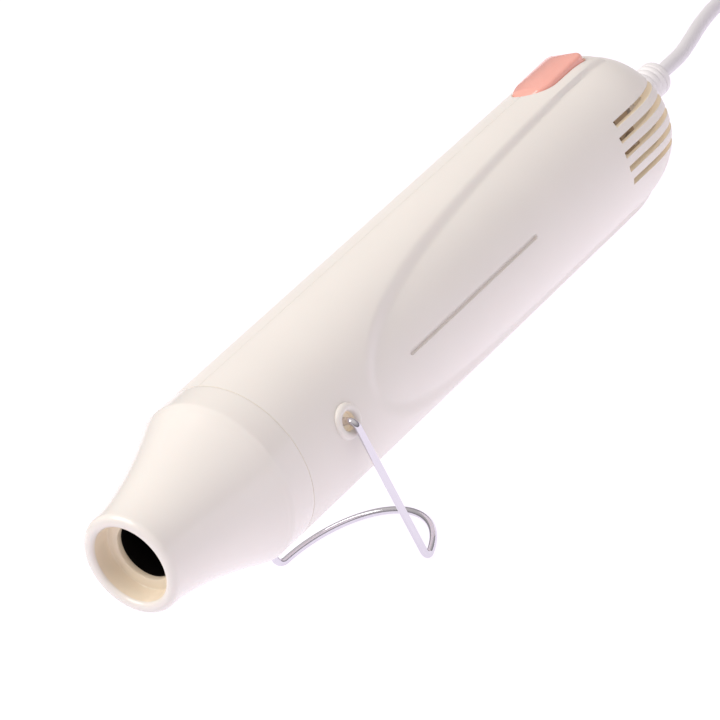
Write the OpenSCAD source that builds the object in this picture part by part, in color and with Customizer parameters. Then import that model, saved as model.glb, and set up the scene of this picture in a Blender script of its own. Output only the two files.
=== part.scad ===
// Embossing heat tool: a slim hot air tool with a bell nozzle, a folding wire stand,
// a rocker switch on its spine and a mains lead. Millimetres.
// Every piece is drawn along the tool's own axis: +X from the nozzle to the lead,
// +Z towards the switch, x = 0 at the joint of nozzle and housing.
// park() then sets the tool on the table, nose up, on its wire stand.

/* [Body] */
// Radius of the barrel and of the spine
barrel_r = 22.5; // [20:0.5:26]
// Length of the two housing shells
housing_len = 180; // [172:1:200]
// Wall thickness of the housing shells
wall = 2.6; // [1.8:0.1:2.8]
// Length of the rounded rear end
dome_len = 23; // [16:1:28]
// Radius of the flat that carries the strain relief
dome_flat_r = 6.6; // [6:0.1:8]
// Fullness of the rear rounding, 2 is an ellipse
dome_power = 2.1; // [1.8:0.1:3]

/* [Grip] */
// Depth of the thumb recess on each side
grip_depth = 1.2; // [0.3:0.1:1.3]
// Front end of the recess behind the nozzle joint
grip_x = 28.8; // [26:0.2:40]
// Length over which the recess opens out to its full height
grip_sweep = 43; // [20:1:60]
// Angle above the side where the recess meets the spine
spine_angle = 68.5; // [50:0.5:72]
// Angle below the side where the recess meets the belly
belly_angle = 70; // [60:0.5:80]
// Width of the soft step round the recess
grip_band = 5; // [2:0.5:8]
// Distance from the rear end to the end of the raised spine
spine_gap = 11; // [8:0.5:16]
// Length of the styling groove
groove_len = 56.6; // [30:0.2:70]
// Width of the styling groove
groove_w = 1.1; // [0.6:0.1:2]
// Depth of the styling groove
groove_d = 0.7; // [0.3:0.1:1.2]
// Start of the styling groove behind the nozzle joint
groove_x = 47.2; // [40:0.2:60]
// Height of the styling groove above the axis
groove_z = 1.6; // [-2:0.2:4]

/* [Vents] */
// Slots on each side
vent_count = 5; // [3:1:6]
// Width of a slot
vent_w = 1.4; // [1.2:0.1:2.6]
// Distance from slot to slot
vent_pitch = 3.9; // [3.6:0.1:4.2]
// Height of the middle slot above the axis
vent_z = 0.1; // [0:0.1:2]
// Length of the longest slot along the housing
vent_len = 32; // [20:1:34]
// Distance of the slots' inner ends from the middle plane
vent_in = 7.5; // [5.5:0.5:10]

/* [Nozzle] */
// Length of the nozzle in front of the housing
nozzle_len = 44; // [38:0.5:52]
// Outer radius of the mouth
mouth_r = 13.55; // [12.5:0.05:15]
// Radius of the mouth's bore
mouth_bore_r = 10.4; // [9.5:0.1:11]
// Depth of the mouth's floor
mouth_depth = 6.2; // [5:0.1:9]
// Radius of the air outlet in the floor
outlet_r = 7.7; // [6:0.1:8.5]
// Length of the ring behind the shoulder
band_len = 9; // [6:0.5:12]
// Radius of the shoulder
shoulder_r = 21.9; // [19.5:0.1:22.3]
// Wall thickness of the nozzle
nozzle_wall = 2.1; // [1.6:0.1:2.6]
// Depth of the nozzle's spigot in the housing
spigot_len = 7; // [4:0.5:7.5]

/* [Stand] */
// Radius of the stand's wire
wire_r = 0.95; // [0.8:0.05:1.2]
// Distance of the stand's pivot behind the nozzle joint
pivot_x = 18.2; // [14:0.2:22]
// Height of the pivot rings on the barrel
ring_h = 1; // [0.4:0.1:1]
// Radius of the pivot rings
ring_r = 4.5; // [4:0.1:5.5]
// Radius of the rings' open mouth
ring_mouth_r = 2.4; // [2.1:0.1:2.8]
// Running clearance round the stand's ends
pivot_fit = 0.06; // [0.03:0.01:0.1]
// Gap between the legs and the pivot rings
leg_gap = 0.2; // [0.2:0.05:0.6]
// Inner radius of the bends, on the wire's middle line
bend_r = 2.2; // [2:0.1:4]
// Angle at which the bow runs inwards from the legs
bow_angle = 17.5; // [8:0.5:30]
// Lean of the legs towards the rear, from square to the axis
leg_lean = 4.2; // [0:0.1:7]
// Pitch of the tool, nose up, when it is parked on the stand
park_pitch = 7.9; // [6:0.1:10]

/* [Switch] */
// Distance from the rear end to the middle of the switch
switch_gap = 25; // [24:0.5:30]
// Length of the rocker
rocker_len = 22; // [18:0.2:22.4]
// Width of the rocker
rocker_w = 12.6; // [10:0.1:13]
// Height of the rocker's crown above its pivot
rocker_h = 7; // [6:0.1:8]
// Depth of the rocker's pivot below the top of the spine
rocker_sink = 5.7; // [5:0.1:7]
// Tilt of the rocker to each side of the middle
rocker_tilt = 4; // [3:0.5:6]
// Gap between the rocker's sides and the housing
rocker_gap = 0.35; // [0.25:0.05:0.6]

/* [Air heater and motor] */
// Inner radius of the heater's steel tube
shield_r = 14.2; // [13.6:0.1:14.6]
// Wall of the heater's steel tube
shield_wall = 0.6; // [0.4:0.1:0.8]
// Length kept behind the heater for the motor, its leads and the switch
drive_room = 106; // [104:1:118]
// Mean radius of the heating coil
coil_r = 11.6; // [10.5:0.1:11.8]
// Turns of the heating coil
coil_turns = 8; // [5:1:10]
// Radius of the motor
motor_r = 12; // [10:0.1:13]
// Length of the motor's can
motor_len = 25; // [20:0.5:27]
// Radius of the fan
fan_r = 17.5; // [15:0.1:17.8]
// Blades of the fan
fan_blades = 7; // [5:1:9]
// Radius of the motor's shaft
shaft_r = 1; // [0.8:0.1:1.5]

/* [Lead and plug] */
// Diameter of the mains lead
cord_d = 4.2; // [3.8:0.1:4.4]
// Length of the strain relief outside the housing
relief_len = 16.5; // [10:0.5:20]
// Radius of the strain relief
relief_r = 4.8; // [4:0.1:5.4]
// Turns of the put away lead
hank_turns = 9.39; // [5.39:1:10.39]
// Radius of the put away lead's outer turn
hank_r = 28.6; // [26:0.2:32]
// Gap between the turns of the put away lead
hank_gap = 0.45; // [0.45:0.05:0.8]
// Distance between the plug's pins
pin_pitch = 18.6; // [18:0.1:19.2]
// Radius of the plug's pins
pin_r = 2; // [1.8:0.1:2.4]
// Length of the plug's pins
pin_len = 19; // [17:0.5:20]

/* [Hidden] */
$fn = 64;

// General clearance between pieces that slip together
slip = 0.1;
// Cuts run this far past the faces that they open
past = 1;
// Far outside of everything, for half spaces
far = 400;

// Small functions
function soft_step(t) = let (c = max(0, min(1, t))) c * c * (3 - 2 * c);
function unit(v) = v / norm(v);
function mix(a, b, t) = a + (b - a) * t;

// The tool's axis is X: a profile of [radius, x] points is turned about it
module turned(points, angle = 360) {
    rotate([0, 90, 0])
        rotate_extrude(angle = angle) polygon(points);
}

module rod(x, length, r) {
    translate([x, 0, 0]) rotate([0, 90, 0]) cylinder(h = length, r = r);
}

module pipe(x, length, r_in, r_out) {
    turned([[r_in, x], [r_out, x], [r_out, x + length], [r_in, x + length]]);
}

// A tube of flat facets swept along a path, its ends square to the path
function path_dir(p, i) =
    unit(p[min(i + 1, len(p) - 1)] - p[max(i - 1, 0)]);
function ring_points(c, dir, r, sides) =
    let (side = unit(cross(dir, [0, 0, 1])), up = cross(side, dir))
    [for (j = [0 : sides - 1]) let (a = 360 * (j + 0.5) / sides)
        c + r * (cos(a) * side + sin(a) * up)];

module tube(path, r, sides) {
    n = len(path);
    points = [for (i = [0 : n - 1]) each ring_points(path[i], path_dir(path, i), r, sides)];
    walls = [for (i = [0 : n - 2], j = [0 : sides - 1])
        let (a = i * sides + j, b = i * sides + (j + 1) % sides)
        each [[a, b, b + sides], [a, b + sides, a + sides]]];
    start = [for (j = [1 : sides - 2]) [0, j + 1, j]];
    end = [for (j = [1 : sides - 2])
        [(n - 1) * sides, (n - 1) * sides + j, (n - 1) * sides + j + 1]];
    polyhedron(points = points, faces = concat(walls, start, end), convexity = 10);
}

// Outer form of the housing
dome_x = housing_len - dome_len;
dome_fall = barrel_r - dome_flat_r;
spine_end = housing_len - spine_gap;
spine_band = 2;

function dome_drop(x, start, length, fall) =
    let (u = max(0, min(1, (x - start) / length)))
    fall * (1 - pow(1 - pow(u, dome_power), 1 / dome_power));
function sleeve_radius(x) = barrel_r - dome_drop(x, dome_x, dome_len, dome_fall);

// Distance inside the edge of the recess, along the skin, at x and at angle a above the side
function grip_inside(x, a) =
    let (e = exp(-max(0, x - grip_x) / grip_sweep),
        limit = a < 0 ? belly_angle : spine_angle,
        level = 1 - e - pow(a / limit, 2),
        slope_x = e / grip_sweep,
        slope_a = 2 * abs(a) / (limit * limit) * 180 / PI / barrel_r)
    max(x < grip_x ? x - grip_x : level / norm([slope_x, slope_a, 0.004]),
        x - spine_end);
function band_at(x) = mix(grip_band, spine_band, soft_step((x - grip_x) / (spine_end - grip_x)));
function skin_radius(x, a) =
    sleeve_radius(x) - grip_depth * soft_step(grip_inside(x, a) / band_at(x));

skin_steps = 36;
dome_steps = 14;
front_stations = [0, 10, 20, grip_x - 1];
recess_stations = [for (i = [1 : 12]) grip_x + 45 * pow(i / 12, 1.6)];
grip_stations = [for (i = [1 : 5]) mix(grip_x + 45, dome_x - 6, i / 5)];
dome_stations = [for (i = [0 : dome_steps]) dome_x + dome_len * sin(90 * i / dome_steps)];
stations = concat(front_stations, recess_stations, grip_stations, dome_stations);

// One half of the housing's outer form, closed on the middle plane
module skin_half() {
    m = skin_steps + 1;
    n = len(stations);
    points = [for (x = stations, j = [0 : skin_steps])
        let (a = -90 + 180 * j / skin_steps, r = skin_radius(x, a))
        [x, j == 0 || j == skin_steps ? 0 : -r * cos(a), r * sin(a)]];
    walls = [for (i = [0 : n - 2], j = [0 : m - 2])
        let (a = i * m + j)
        each [[a, a + m + 1, a + m], [a, a + 1, a + m + 1]]];
    flat = [for (i = [0 : n - 2])
        let (a = i * m, b = i * m + m - 1)
        each [[a, b + m, b], [a, a + m, b + m]]];
    front = [[for (j = [m - 1 : -1 : 0]) j]];
    rear = [[for (j = [0 : m - 1]) (n - 1) * m + j]];
    polyhedron(points = points, faces = concat(walls, flat, front, rear), convexity = 10);
}

// Inside of the housing
cavity_r = barrel_r - wall;
cavity_end = housing_len - wall;
cavity_flat_r = dome_flat_r - 1.4;
rib_sink = 0.7;

// The inside as a solid, from x0 to the rear, grown into the wall by a depth
module inside(x0, grow) {
    length = dome_len - wall + grow;
    curve = [for (i = [0 : dome_steps])
        let (x = dome_x + length * sin(90 * i / dome_steps))
        [cavity_r + grow - dome_drop(x, dome_x, length, cavity_r - cavity_flat_r), x]];
    turned(concat([[0, x0], [cavity_r + grow, x0]], curve, [[0, cavity_end + grow]]));
}

// Pivot of the stand
leg_y = barrel_r + ring_h + leg_gap + wire_r;
pin_inner_y = cavity_r - 2.5;
lug_inner_y = cavity_r - 1.6;

module pivot_ring() {
    // The round reaches a little into the mouth, whose bore then cuts it cleanly
    lip_in = 0.1;
    round_r = (ring_r - ring_mouth_r + lip_in) / 2;
    rotate([90, 0, 0]) rotate_extrude() union() {
        translate([ring_r - round_r, barrel_r + ring_h - round_r]) circle(r = round_r, $fn = 32);
        translate([ring_mouth_r - lip_in, lug_inner_y])
            square([ring_r - ring_mouth_r + lip_in, barrel_r + ring_h - round_r - lug_inner_y]);
        translate([wire_r + pivot_fit, lug_inner_y])
            square([ring_r - wire_r - pivot_fit, barrel_r - 1.2 - lug_inner_y]);
    }
}

module pivot_hole() {
    rotate([90, 0, 0]) cylinder(h = far, r = wire_r + pivot_fit);
    translate([0, 1.2 - barrel_r, 0]) rotate([90, 0, 0]) cylinder(h = far, r = ring_mouth_r);
}

// Screws that hold the two halves
post_r = 3;
screw_r = 1.25;
screw_head_r = 2.5;
screw_head_h = 1.8;
screw_seat_y = 8;
screw_tip_y = -6.5;

module post(y_from, y_to, r) {
    translate([0, y_to, 0]) rotate([90, 0, 0]) cylinder(h = y_to - y_from, r = r, $fn = 48);
}

// Switch
switch_x = housing_len - switch_gap;
rocker_z = barrel_r - rocker_sink;
body_half_len = rocker_len / 2 - 1.6;
body_half_w = rocker_w / 2 - 0.1;
body_top = 0.8;
body_depth = 12.9;
opening_end_gap = 0.6;
rocker_nose = 7.4;
rocker_tail_r = 3.6;

// Plan of the rocker, with its front end rounder than its rear end
module rocker_plan(grow_x, grow_y) {
    half_l = rocker_len / 2 + grow_x;
    half_w = rocker_w / 2 + grow_y;
    nose = rocker_nose + grow_x;
    tail_r = rocker_tail_r;
    union() {
        translate([-half_l + nose, 0]) scale_circle(nose, half_w);
        translate([-half_l + nose, -half_w])
            square([2 * half_l - nose - tail_r, 2 * half_w]);
        translate([half_l - tail_r - 0.01, -half_w + tail_r])
            square([tail_r + 0.01, 2 * half_w - 2 * tail_r]);
        for (s = [-1, 1]) translate([half_l - tail_r, s * (half_w - tail_r)])
            circle(r = tail_r);
    }
}

// An end of elliptical plan, drawn as a polygon of even steps
module scale_circle(rx, ry) {
    polygon([for (i = [0 : 24]) let (a = 90 + 180 * i / 24) [rx * cos(a), ry * sin(a)]]);
}

module switch_opening() {
    translate([switch_x, 0, rocker_z]) linear_extrude(height = far)
        rocker_plan(opening_end_gap, rocker_gap);
}

// Heater and motor places along the axis
shield_x = -10;
shield_len = housing_len - drive_room;
shield_end = shield_x + shield_len;
insulator_t = 3;
front_ring_x = shield_x + 2;
rear_ring_x = shield_end - 6;
rib_t = 2;
rib_front_x = spigot_len + 1;
rib_rear_x = shield_end - rib_t - 1;
rib_r = shield_r + shield_wall + slip;
fan_gap = 26;
fan_x = shield_end + fan_gap;
fan_len = 8;
motor_x = fan_x + fan_len + 4;
motor_end = motor_x + motor_len;
board_x = motor_end + 7;

// Places of the housing's screws: [x, z]
post_places = [[fan_x - 12, 7], [housing_len - 39, -11], [housing_len - 8.8, 13.2]];

// Cord clamp
clamp_x = housing_len - 12;
clamp_len = 6;
clamp_half_z = 8.6;
clamp_screw_z = 5.6;
sheath_x = clamp_x - 3;
clamp_post_r = 2.2;
clamp_screw_r = 1;
clamp_bar_h = 2.6;
clamp_fit = 0.05;
clamp_screw_tip = 3.6;
cord_r = cord_d / 2;

module housing_half(left) {
    side = left ? 1 : -1;
    difference() {
        union() {
            difference() {
                mirror([0, left ? 0 : 1, 0]) skin_half();
                inside(-past, 0);
            }
            mirror([0, left ? 0 : 1, 0]) translate([pivot_x, 0, 0]) pivot_ring();
            // Ribs and posts end inside the wall
            intersection() {
                inside(1, rib_sink);
                translate([0, left ? -far : 0, -far / 2]) cube([far, far, far]);
                union() {
                    pipe(rib_front_x, rib_t, rib_r, far / 4);
                    pipe(rib_rear_x, rib_t, rib_r, far / 4);
                    switch_ribs();
                    for (p = post_places) translate([p[0], 0, p[1]])
                        post(-far / 8, far / 8, post_r);
                    clamp_seat();
                }
            }
            if (!left) clamp_posts();
        }
        mirror([0, left ? 0 : 1, 0]) {
            translate([pivot_x, 0, 0]) pivot_hole();
            vents();
            groove();
        }
        switch_opening();
        cord_hole();
        if (!left) clamp_bores();
        for (p = post_places) translate([p[0], 0, p[1]]) {
            post(screw_tip_y, past, screw_r + 0.02);
            if (!left) post(-past, far / 4, screw_r + 0.25);
            if (!left) post(screw_seat_y - screw_head_h - 0.2, far / 4, screw_head_r + 0.3);
        }
    }
}

// The slots' front ends lie on a shallow arc, foremost at this count from the lowest slot
vent_foremost = 1.4;
vent_arc = 0.4;

module vents() {
    for (i = [0 : vent_count - 1])
        translate([housing_len - vent_len + vent_arc * pow(i - vent_foremost, 2), -far / 4 - vent_in,
                vent_z + vent_pitch * (i - (vent_count - 1) / 2) - vent_w / 2])
            cube([vent_len + past, far / 4, vent_w]);
}

module groove() {
    translate([groove_x, -far / 4 - barrel_r + grip_depth + groove_d, groove_z - groove_w / 2])
        cube([groove_len, far / 4, groove_w]);
}

module switch_ribs() {
    rib = 1.6;
    top = rocker_z + body_top;
    for (s = [-1, 1])
        translate([switch_x + s * (body_half_len + slip + rib / 2) - rib / 2, -far / 4,
                rocker_z - 8])
            cube([rib, far / 2, top - rocker_z + 7]);
    for (s = [-1, 1])
        translate([switch_x - body_half_len - 1, s > 0 ? 3.4 : -far / 4 - 3.4,
                rocker_z - body_depth - slip - rib])
            cube([2 * body_half_len + 2, far / 4, rib]);
}

relief_neck_r = 3.6;

module cord_hole() {
    rod(cavity_end - past, wall + 2 * past, relief_neck_r + slip);
}

module at_clamp_screws() {
    for (s = [-1, 1]) translate([clamp_x + clamp_len / 2, 0, s * clamp_screw_z]) children();
}

module clamp_seat() {
    translate([clamp_x, cord_r + clamp_fit, -clamp_half_z])
        cube([clamp_len, far / 8, 2 * clamp_half_z]);
}

module clamp_posts() {
    at_clamp_screws() post(clamp_fit - cord_r, cord_r + past, clamp_post_r);
}

module clamp_bores() {
    at_clamp_screws() post(-past - cord_r, clamp_screw_tip + 0.4, clamp_screw_r + 0.02);
}

module housing_left() {
    color([0.95, 0.93, 0.9]) park() housing_half(true);
}

module housing_right() {
    color([0.93, 0.91, 0.88]) park() housing_half(false);
}

// Nozzle
lip_r = 1.8;
lip_in_r = 1.1;
flare_power = 2.05;
flare_end_x = -band_len - 3.4;
flare_end_r = shoulder_r - 1.1;
web_x = mouth_depth - nozzle_len;
web_t = 1.6;

function flare_radius(x) =
    let (x0 = lip_r - nozzle_len, u = max(0, (x - x0) / (flare_end_x - x0)))
    mouth_r + (flare_end_r - mouth_r) * pow(u, flare_power);
function bezier(a, b, c, t) = (1 - t) * (1 - t) * a + 2 * t * (1 - t) * b + t * t * c;

flare_curve = [for (i = [1 : 12])
    let (x = mix(lip_r - nozzle_len, flare_end_x, i / 12)) [flare_radius(x), x]];
shoulder_curve = [for (i = [1 : 6])
    bezier([flare_end_r, flare_end_x], [shoulder_r - 0.05, flare_end_x + 2.1],
        [shoulder_r, -band_len], i / 6)];
lip_curve = [for (i = [0 : 8]) let (a = 90 * i / 8)
    [mouth_r - lip_r + lip_r * sin(a), lip_r - nozzle_len - lip_r * cos(a)]];
lip_in_curve = [for (i = [0 : 5]) let (a = 90 * i / 5)
    [mouth_bore_r + lip_in_r - lip_in_r * cos(a), lip_in_r - nozzle_len - lip_in_r * sin(a)]];

module nozzle() {
    inner = [for (i = [12 : -1 : 3])
        let (x = mix(lip_r - nozzle_len, flare_end_x, i / 12))
        [flare_radius(x) - nozzle_wall, x]];
    spigot_out = cavity_r - slip;
    spigot_in = spigot_out - 1.6;
    color([0.96, 0.94, 0.91]) park() turned(concat(
        [[mouth_bore_r, web_x], [outlet_r, web_x], [outlet_r, web_x + web_t],
            [flare_radius(web_x + web_t) - nozzle_wall, web_x + web_t]],
        [for (i = [len(inner) - 1 : -1 : 0]) if (inner[i][1] > web_x + web_t + 1) inner[i]],
        [[spigot_in, -band_len], [spigot_in, spigot_len], [spigot_out - 0.6, spigot_len],
            [spigot_out, spigot_len - 1], [spigot_out, 0], [barrel_r, 0]],
        [for (i = [5 : -1 : 0]) shoulder_curve[i]],
        [for (i = [11 : -1 : 0]) flare_curve[i]],
        [for (i = [8 : -1 : 0]) lip_curve[i]],
        [for (i = [5 : -1 : 0]) lip_in_curve[i]]));
}

// Sheet steel cone that leads the air from the heater to the outlet
cone_t = 0.5;

module outlet_cone() {
    x0 = web_x + web_t + 0.05;
    tube_in = outlet_r + 0.1;
    collar_in = shield_r + shield_wall + 0.05;
    color([0.28, 0.27, 0.28]) park() turned([
        [tube_in, x0], [tube_in + 2.2, x0], [tube_in + 2.2, x0 + cone_t],
        [tube_in + cone_t, x0 + cone_t], [tube_in + cone_t, x0 + 10],
        [collar_in + cone_t, shield_x - 2], [collar_in + cone_t, shield_x + 6],
        [collar_in, shield_x + 6], [collar_in, shield_x - 0.1],
        [shield_r, shield_x - 0.1], [tube_in, x0 + 10.2]]);
}

module heater_shield() {
    color([0.62, 0.62, 0.64]) park() pipe(shield_x, shield_len, shield_r, shield_r + shield_wall);
}

// Heater core: two crossed mica plates in two slotted rings, with the coil round them
plate_t = 1;
plate_half_w = coil_r - 0.6;
tab_half_w = 12.6;
plate_x = front_ring_x + 0.5;
plate_end = rear_ring_x + insulator_t - 0.5;
plate_mid = (plate_x + plate_end) / 2;
coil_wire_r = 0.45;
mica_sleeve_r = coil_r + 1.4;
mica_sleeve_t = 0.5;

module mica_plate(front_slot) {
    tab = insulator_t - 0.5;
    difference() {
        union() {
            translate([plate_x, -plate_half_w, -plate_t / 2])
                cube([plate_end - plate_x, 2 * plate_half_w, plate_t]);
            for (x = [plate_x, plate_end - tab])
                translate([x, -tab_half_w, -plate_t / 2]) cube([tab, 2 * tab_half_w, plate_t]);
        }
        translate([front_slot ? plate_x - past : plate_mid - slip, -plate_t / 2 - slip, -past])
            cube([plate_mid - plate_x + past + slip, plate_t + 2 * slip, 2 * past]);
    }
}

module mica_plate_flat() {
    color([0.72, 0.66, 0.52]) park() mica_plate(true);
}

module mica_plate_upright() {
    color([0.7, 0.64, 0.5]) park() rotate([90, 0, 0]) mica_plate(false);
}

module insulator(x) {
    difference() {
        pipe(x, insulator_t, coil_r, shield_r - slip);
        for (a = [0, 90]) rotate([a, 0, 0])
            translate([x - past, -tab_half_w - slip, -plate_t / 2 - slip])
                cube([insulator_t + 2 * past, 2 * tab_half_w + 2 * slip, plate_t + 2 * slip]);
    }
}

module front_insulator() {
    color([0.82, 0.78, 0.7]) park() insulator(front_ring_x);
}

module rear_insulator() {
    color([0.82, 0.78, 0.7]) park() insulator(rear_ring_x);
}

module mica_sleeve() {
    x0 = front_ring_x + insulator_t + slip;
    color([0.75, 0.7, 0.55]) park()
        pipe(x0, rear_ring_x - slip - x0, mica_sleeve_r, mica_sleeve_r + mica_sleeve_t);
}

coil_x0 = front_ring_x + insulator_t + 3;
coil_x1 = rear_ring_x - 3;
coil_rings = 16;
coil_path = [for (i = [0 : coil_turns * coil_rings])
    let (a = 360 * i / coil_rings, t = i / (coil_turns * coil_rings))
    [mix(coil_x0, coil_x1, t), coil_r * cos(a), coil_r * sin(a)]];
echo(least_gap_of_heating_coil = (coil_x1 - coil_x0) / coil_turns - 2 * coil_wire_r);

// The helix needs its own frame, because its path is never level
module helix(path, r, sides) {
    n = len(path);
    points = [for (i = [0 : n - 1])
        let (d = path_dir(path, i), out = unit([0, path[i][1], path[i][2]]), up = cross(d, out))
        for (j = [0 : sides - 1]) let (a = 360 * j / sides)
            path[i] + r * (cos(a) * out + sin(a) * unit(up))];
    walls = [for (i = [0 : n - 2], j = [0 : sides - 1])
        let (a = i * sides + j, b = i * sides + (j + 1) % sides)
        each [[a, b + sides, b], [a, a + sides, b + sides]]];
    start = [for (j = [1 : sides - 2]) [0, j, j + 1]];
    end = [for (j = [1 : sides - 2])
        [(n - 1) * sides, (n - 1) * sides + j + 1, (n - 1) * sides + j]];
    polyhedron(points = points, faces = concat(walls, start, end), convexity = 20);
}

module heating_coil() {
    color([0.5, 0.48, 0.46]) park() helix(coil_path, coil_wire_r, 6);
}

// Terminals stand at the same angles as the leads that run to them
live_angle = 60;
neutral_angle = 195;
motor_angles = [120, 330];
lead_angles = [live_angle, neutral_angle, motor_angles[0], motor_angles[1]];
terminal_x = rear_ring_x + insulator_t;
terminal_len = 5.5;
terminal_r = 12.85;

module heater_terminals() {
    color([0.75, 0.72, 0.6]) park() for (a = lead_angles) rotate([a, 0, 0]) difference() {
        translate([terminal_x, terminal_r - 0.9, -2]) cube([terminal_len, 1.8, 4]);
        translate([terminal_x + 3.5, terminal_r + 2, 0]) rotate([90, 0, 0])
            cylinder(h = 4, r = 0.9, $fn = 32);
    }
}

// Thermostat and fuse lie on the flat plate, each on its own side of the upright one
thermostat_size = [9, 5, 2.2];
thermostat_button = [2, 0.8];
fuse_len = 9;
fuse_r = 1.25;
fuse_wire = [0.4, 15];
safety_gap = 0.02;

module thermostat() {
    color([0.78, 0.78, 0.8]) park()
        translate([mix(plate_x, plate_end, 0.55), 2.2, plate_t / 2 + safety_gap]) union() {
            cube(thermostat_size);
            translate(thermostat_size / 2 + [0, 0, thermostat_size[2] / 2])
                cylinder(h = thermostat_button[1], r = thermostat_button[0], $fn = 48);
        }
}

module thermal_fuse() {
    color([0.85, 0.83, 0.78]) park()
        translate([mix(plate_x, plate_end, 0.23), -5, plate_t / 2 + fuse_r + safety_gap]) union() {
            rotate([0, 90, 0]) cylinder(h = fuse_len, r = fuse_r, $fn = 48);
            translate([(fuse_len - fuse_wire[1]) / 2, 0, 0]) rotate([0, 90, 0])
                cylinder(h = fuse_wire[1], r = fuse_wire[0], $fn = 32);
        }
}

// Motor and fan
shaft_x = fan_x - 1;
shaft_end = motor_end + 3.6;
run = 0.05;

module fan() {
    blade_t = 1.1;
    blade_angle = 38;
    color([0.2, 0.2, 0.22]) park() difference() {
        union() {
            rod(fan_x, fan_len, 6);
            intersection() {
                pipe(fan_x + 0.4, fan_len - 0.8, 5, fan_r);
                for (i = [0 : fan_blades - 1]) rotate([360 * i / fan_blades, 0, 0])
                    translate([fan_x + fan_len / 2, 0, 0]) rotate([0, 0, blade_angle])
                        translate([-fan_len, -blade_t / 2, 0])
                            cube([2 * fan_len, blade_t, fan_r + 2]);
            }
        }
        rod(fan_x - past, fan_len + 2 * past, shaft_r + 0.02);
    }
}

module motor_shaft() {
    color([0.7, 0.7, 0.72]) park() rod(shaft_x, shaft_end - shaft_x, shaft_r);
}

armature_r = motor_r - 3.6;
armature_x = motor_x + 5;
armature_len = motor_len - 11;

module motor_armature() {
    color([0.62, 0.4, 0.26]) park() difference() {
        union() {
            rod(armature_x, armature_len, armature_r);
            rod(armature_x + armature_len, 4.4, 2.6);
        }
        for (i = [0 : 2]) rotate([120 * i, 0, 0])
            translate([armature_x - past, -0.8, armature_r - 3.4])
                cube([armature_len + 2 * past, 1.6, 5]);
        rod(armature_x - past, armature_len + 8, shaft_r + 0.02);
    }
}

module motor_magnets() {
    color([0.3, 0.3, 0.32]) park() for (s = [0, 180])
        rotate([s + 20, 0, 0])
            turned([[motor_r - 3.1, armature_x - 1], [motor_r - 1.05, armature_x - 1],
                [motor_r - 1.05, armature_x + armature_len], [motor_r - 3.1, armature_x + armature_len]],
                140);
}

module motor_can() {
    color([0.72, 0.72, 0.74]) park() turned([
        [shaft_r + run, motor_x - 1.5], [3, motor_x - 1.5], [3, motor_x], [motor_r, motor_x],
        [motor_r, motor_end], [motor_r - 1, motor_end], [motor_r - 1, motor_x + 1],
        [shaft_r + run, motor_x + 1]]);
}

module motor_end_cap() {
    color([0.9, 0.9, 0.88]) park() turned([
        [shaft_r + run, motor_end - 1.4], [motor_r - 1.02, motor_end - 1.4],
        [motor_r - 1.02, motor_end + 0.02], [motor_r - 0.2, motor_end + 0.02],
        [motor_r - 0.2, motor_end + 1.5],
        [3, motor_end + 1.5], [3, motor_end + 3], [shaft_r + run, motor_end + 3]]);
}

module motor_terminals() {
    color([0.8, 0.7, 0.4]) park() for (s = [-1, 1])
        translate([motor_end + 1.5, s * 7 - 0.3, -1.5]) cube([5.5, 0.6, 3]);
}

module motor_holder() {
    holder_x = motor_x + 6;
    holder_len = 12;
    color([0.85, 0.82, 0.76]) park() union() {
        pipe(holder_x, holder_len, motor_r + 0.05, motor_r + 1.6);
        intersection() {
            pipe(holder_x + 1, holder_len - 2, motor_r + 1, cavity_r - slip);
            for (i = [0 : 3]) rotate([45 + 90 * i, 0, 0])
                translate([holder_x, -0.8, 0]) cube([holder_len, 1.6, far / 8]);
        }
    }
}

board_r = motor_r - 1.5;
board_t = 1.6;
diode_r = 1.33;
diode_len = 5.2;
diode_pitch = 4.1;
diode_z = -3.4;
capacitor_size = [2.6, 8, 4.4];
capacitor_z = 4;
seat_gap = 0.02;

module rectifier_board() {
    color([0.35, 0.5, 0.3]) park() difference() {
        rod(board_x, board_t, board_r);
        rod(board_x - past, board_t + 2 * past, shaft_r + 0.6);
    }
}

module diodes() {
    color([0.12, 0.12, 0.13]) park() for (i = [0 : 3])
        translate([board_x + board_t + diode_r + seat_gap, diode_pitch * (i - 1.5), diode_z])
            cylinder(h = diode_len, r = diode_r, $fn = 48);
}

module capacitor() {
    color([0.75, 0.5, 0.2]) park()
        translate([board_x + board_t + seat_gap, -capacitor_size[1] / 2, capacitor_z])
            cube(capacitor_size);
}

// Switch
module switch_body() {
    color([0.15, 0.15, 0.16]) park() translate([switch_x, 0, rocker_z]) difference() {
        translate([-body_half_len, -body_half_w, -body_depth])
            cube([2 * body_half_len, 2 * body_half_w, body_depth + body_top]);
        translate([-body_half_len + 1.1, -core_half_w - 0.15, -4.4])
            cube([2 * body_half_len - 2.2, 2 * core_half_w + 0.3, far]);
        translate([0, far / 8, 0]) rotate([90, 0, 0]) cylinder(h = far / 4, r = rocker_pin_r + 0.05);
    }
}

module switch_contacts() {
    color([0.82, 0.74, 0.5]) park() for (s = [-1, 1])
        translate([switch_x + s * contact_reach - contact_t / 2, -2.2,
                rocker_z - body_depth - contact_len])
            cube([contact_t, 4.4, contact_len]);
}

contact_reach = 4;
contact_t = 0.8;
contact_len = 6;
core_half_w = 4.4;
rocker_pin_r = 0.7;
crown_r = 60;
across_r = 14;
rocker_reach = 12.2;

// Side view of the rocker about its pivot, its ends swept round the pivot
module rocker_side() {
    intersection() {
        circle(r = rocker_reach, $fn = 96);
        translate([-rocker_len / 2, 2.2]) square([rocker_len, rocker_h]);
    }
}

// The rocker's top is crowned along and across
module rocker_crown() {
    translate([0, 0, rocker_h - crown_r]) rotate([90, 0, 0]) rotate_extrude($fn = 128)
        translate([crown_r - across_r, 0]) circle(r = across_r);
}

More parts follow.
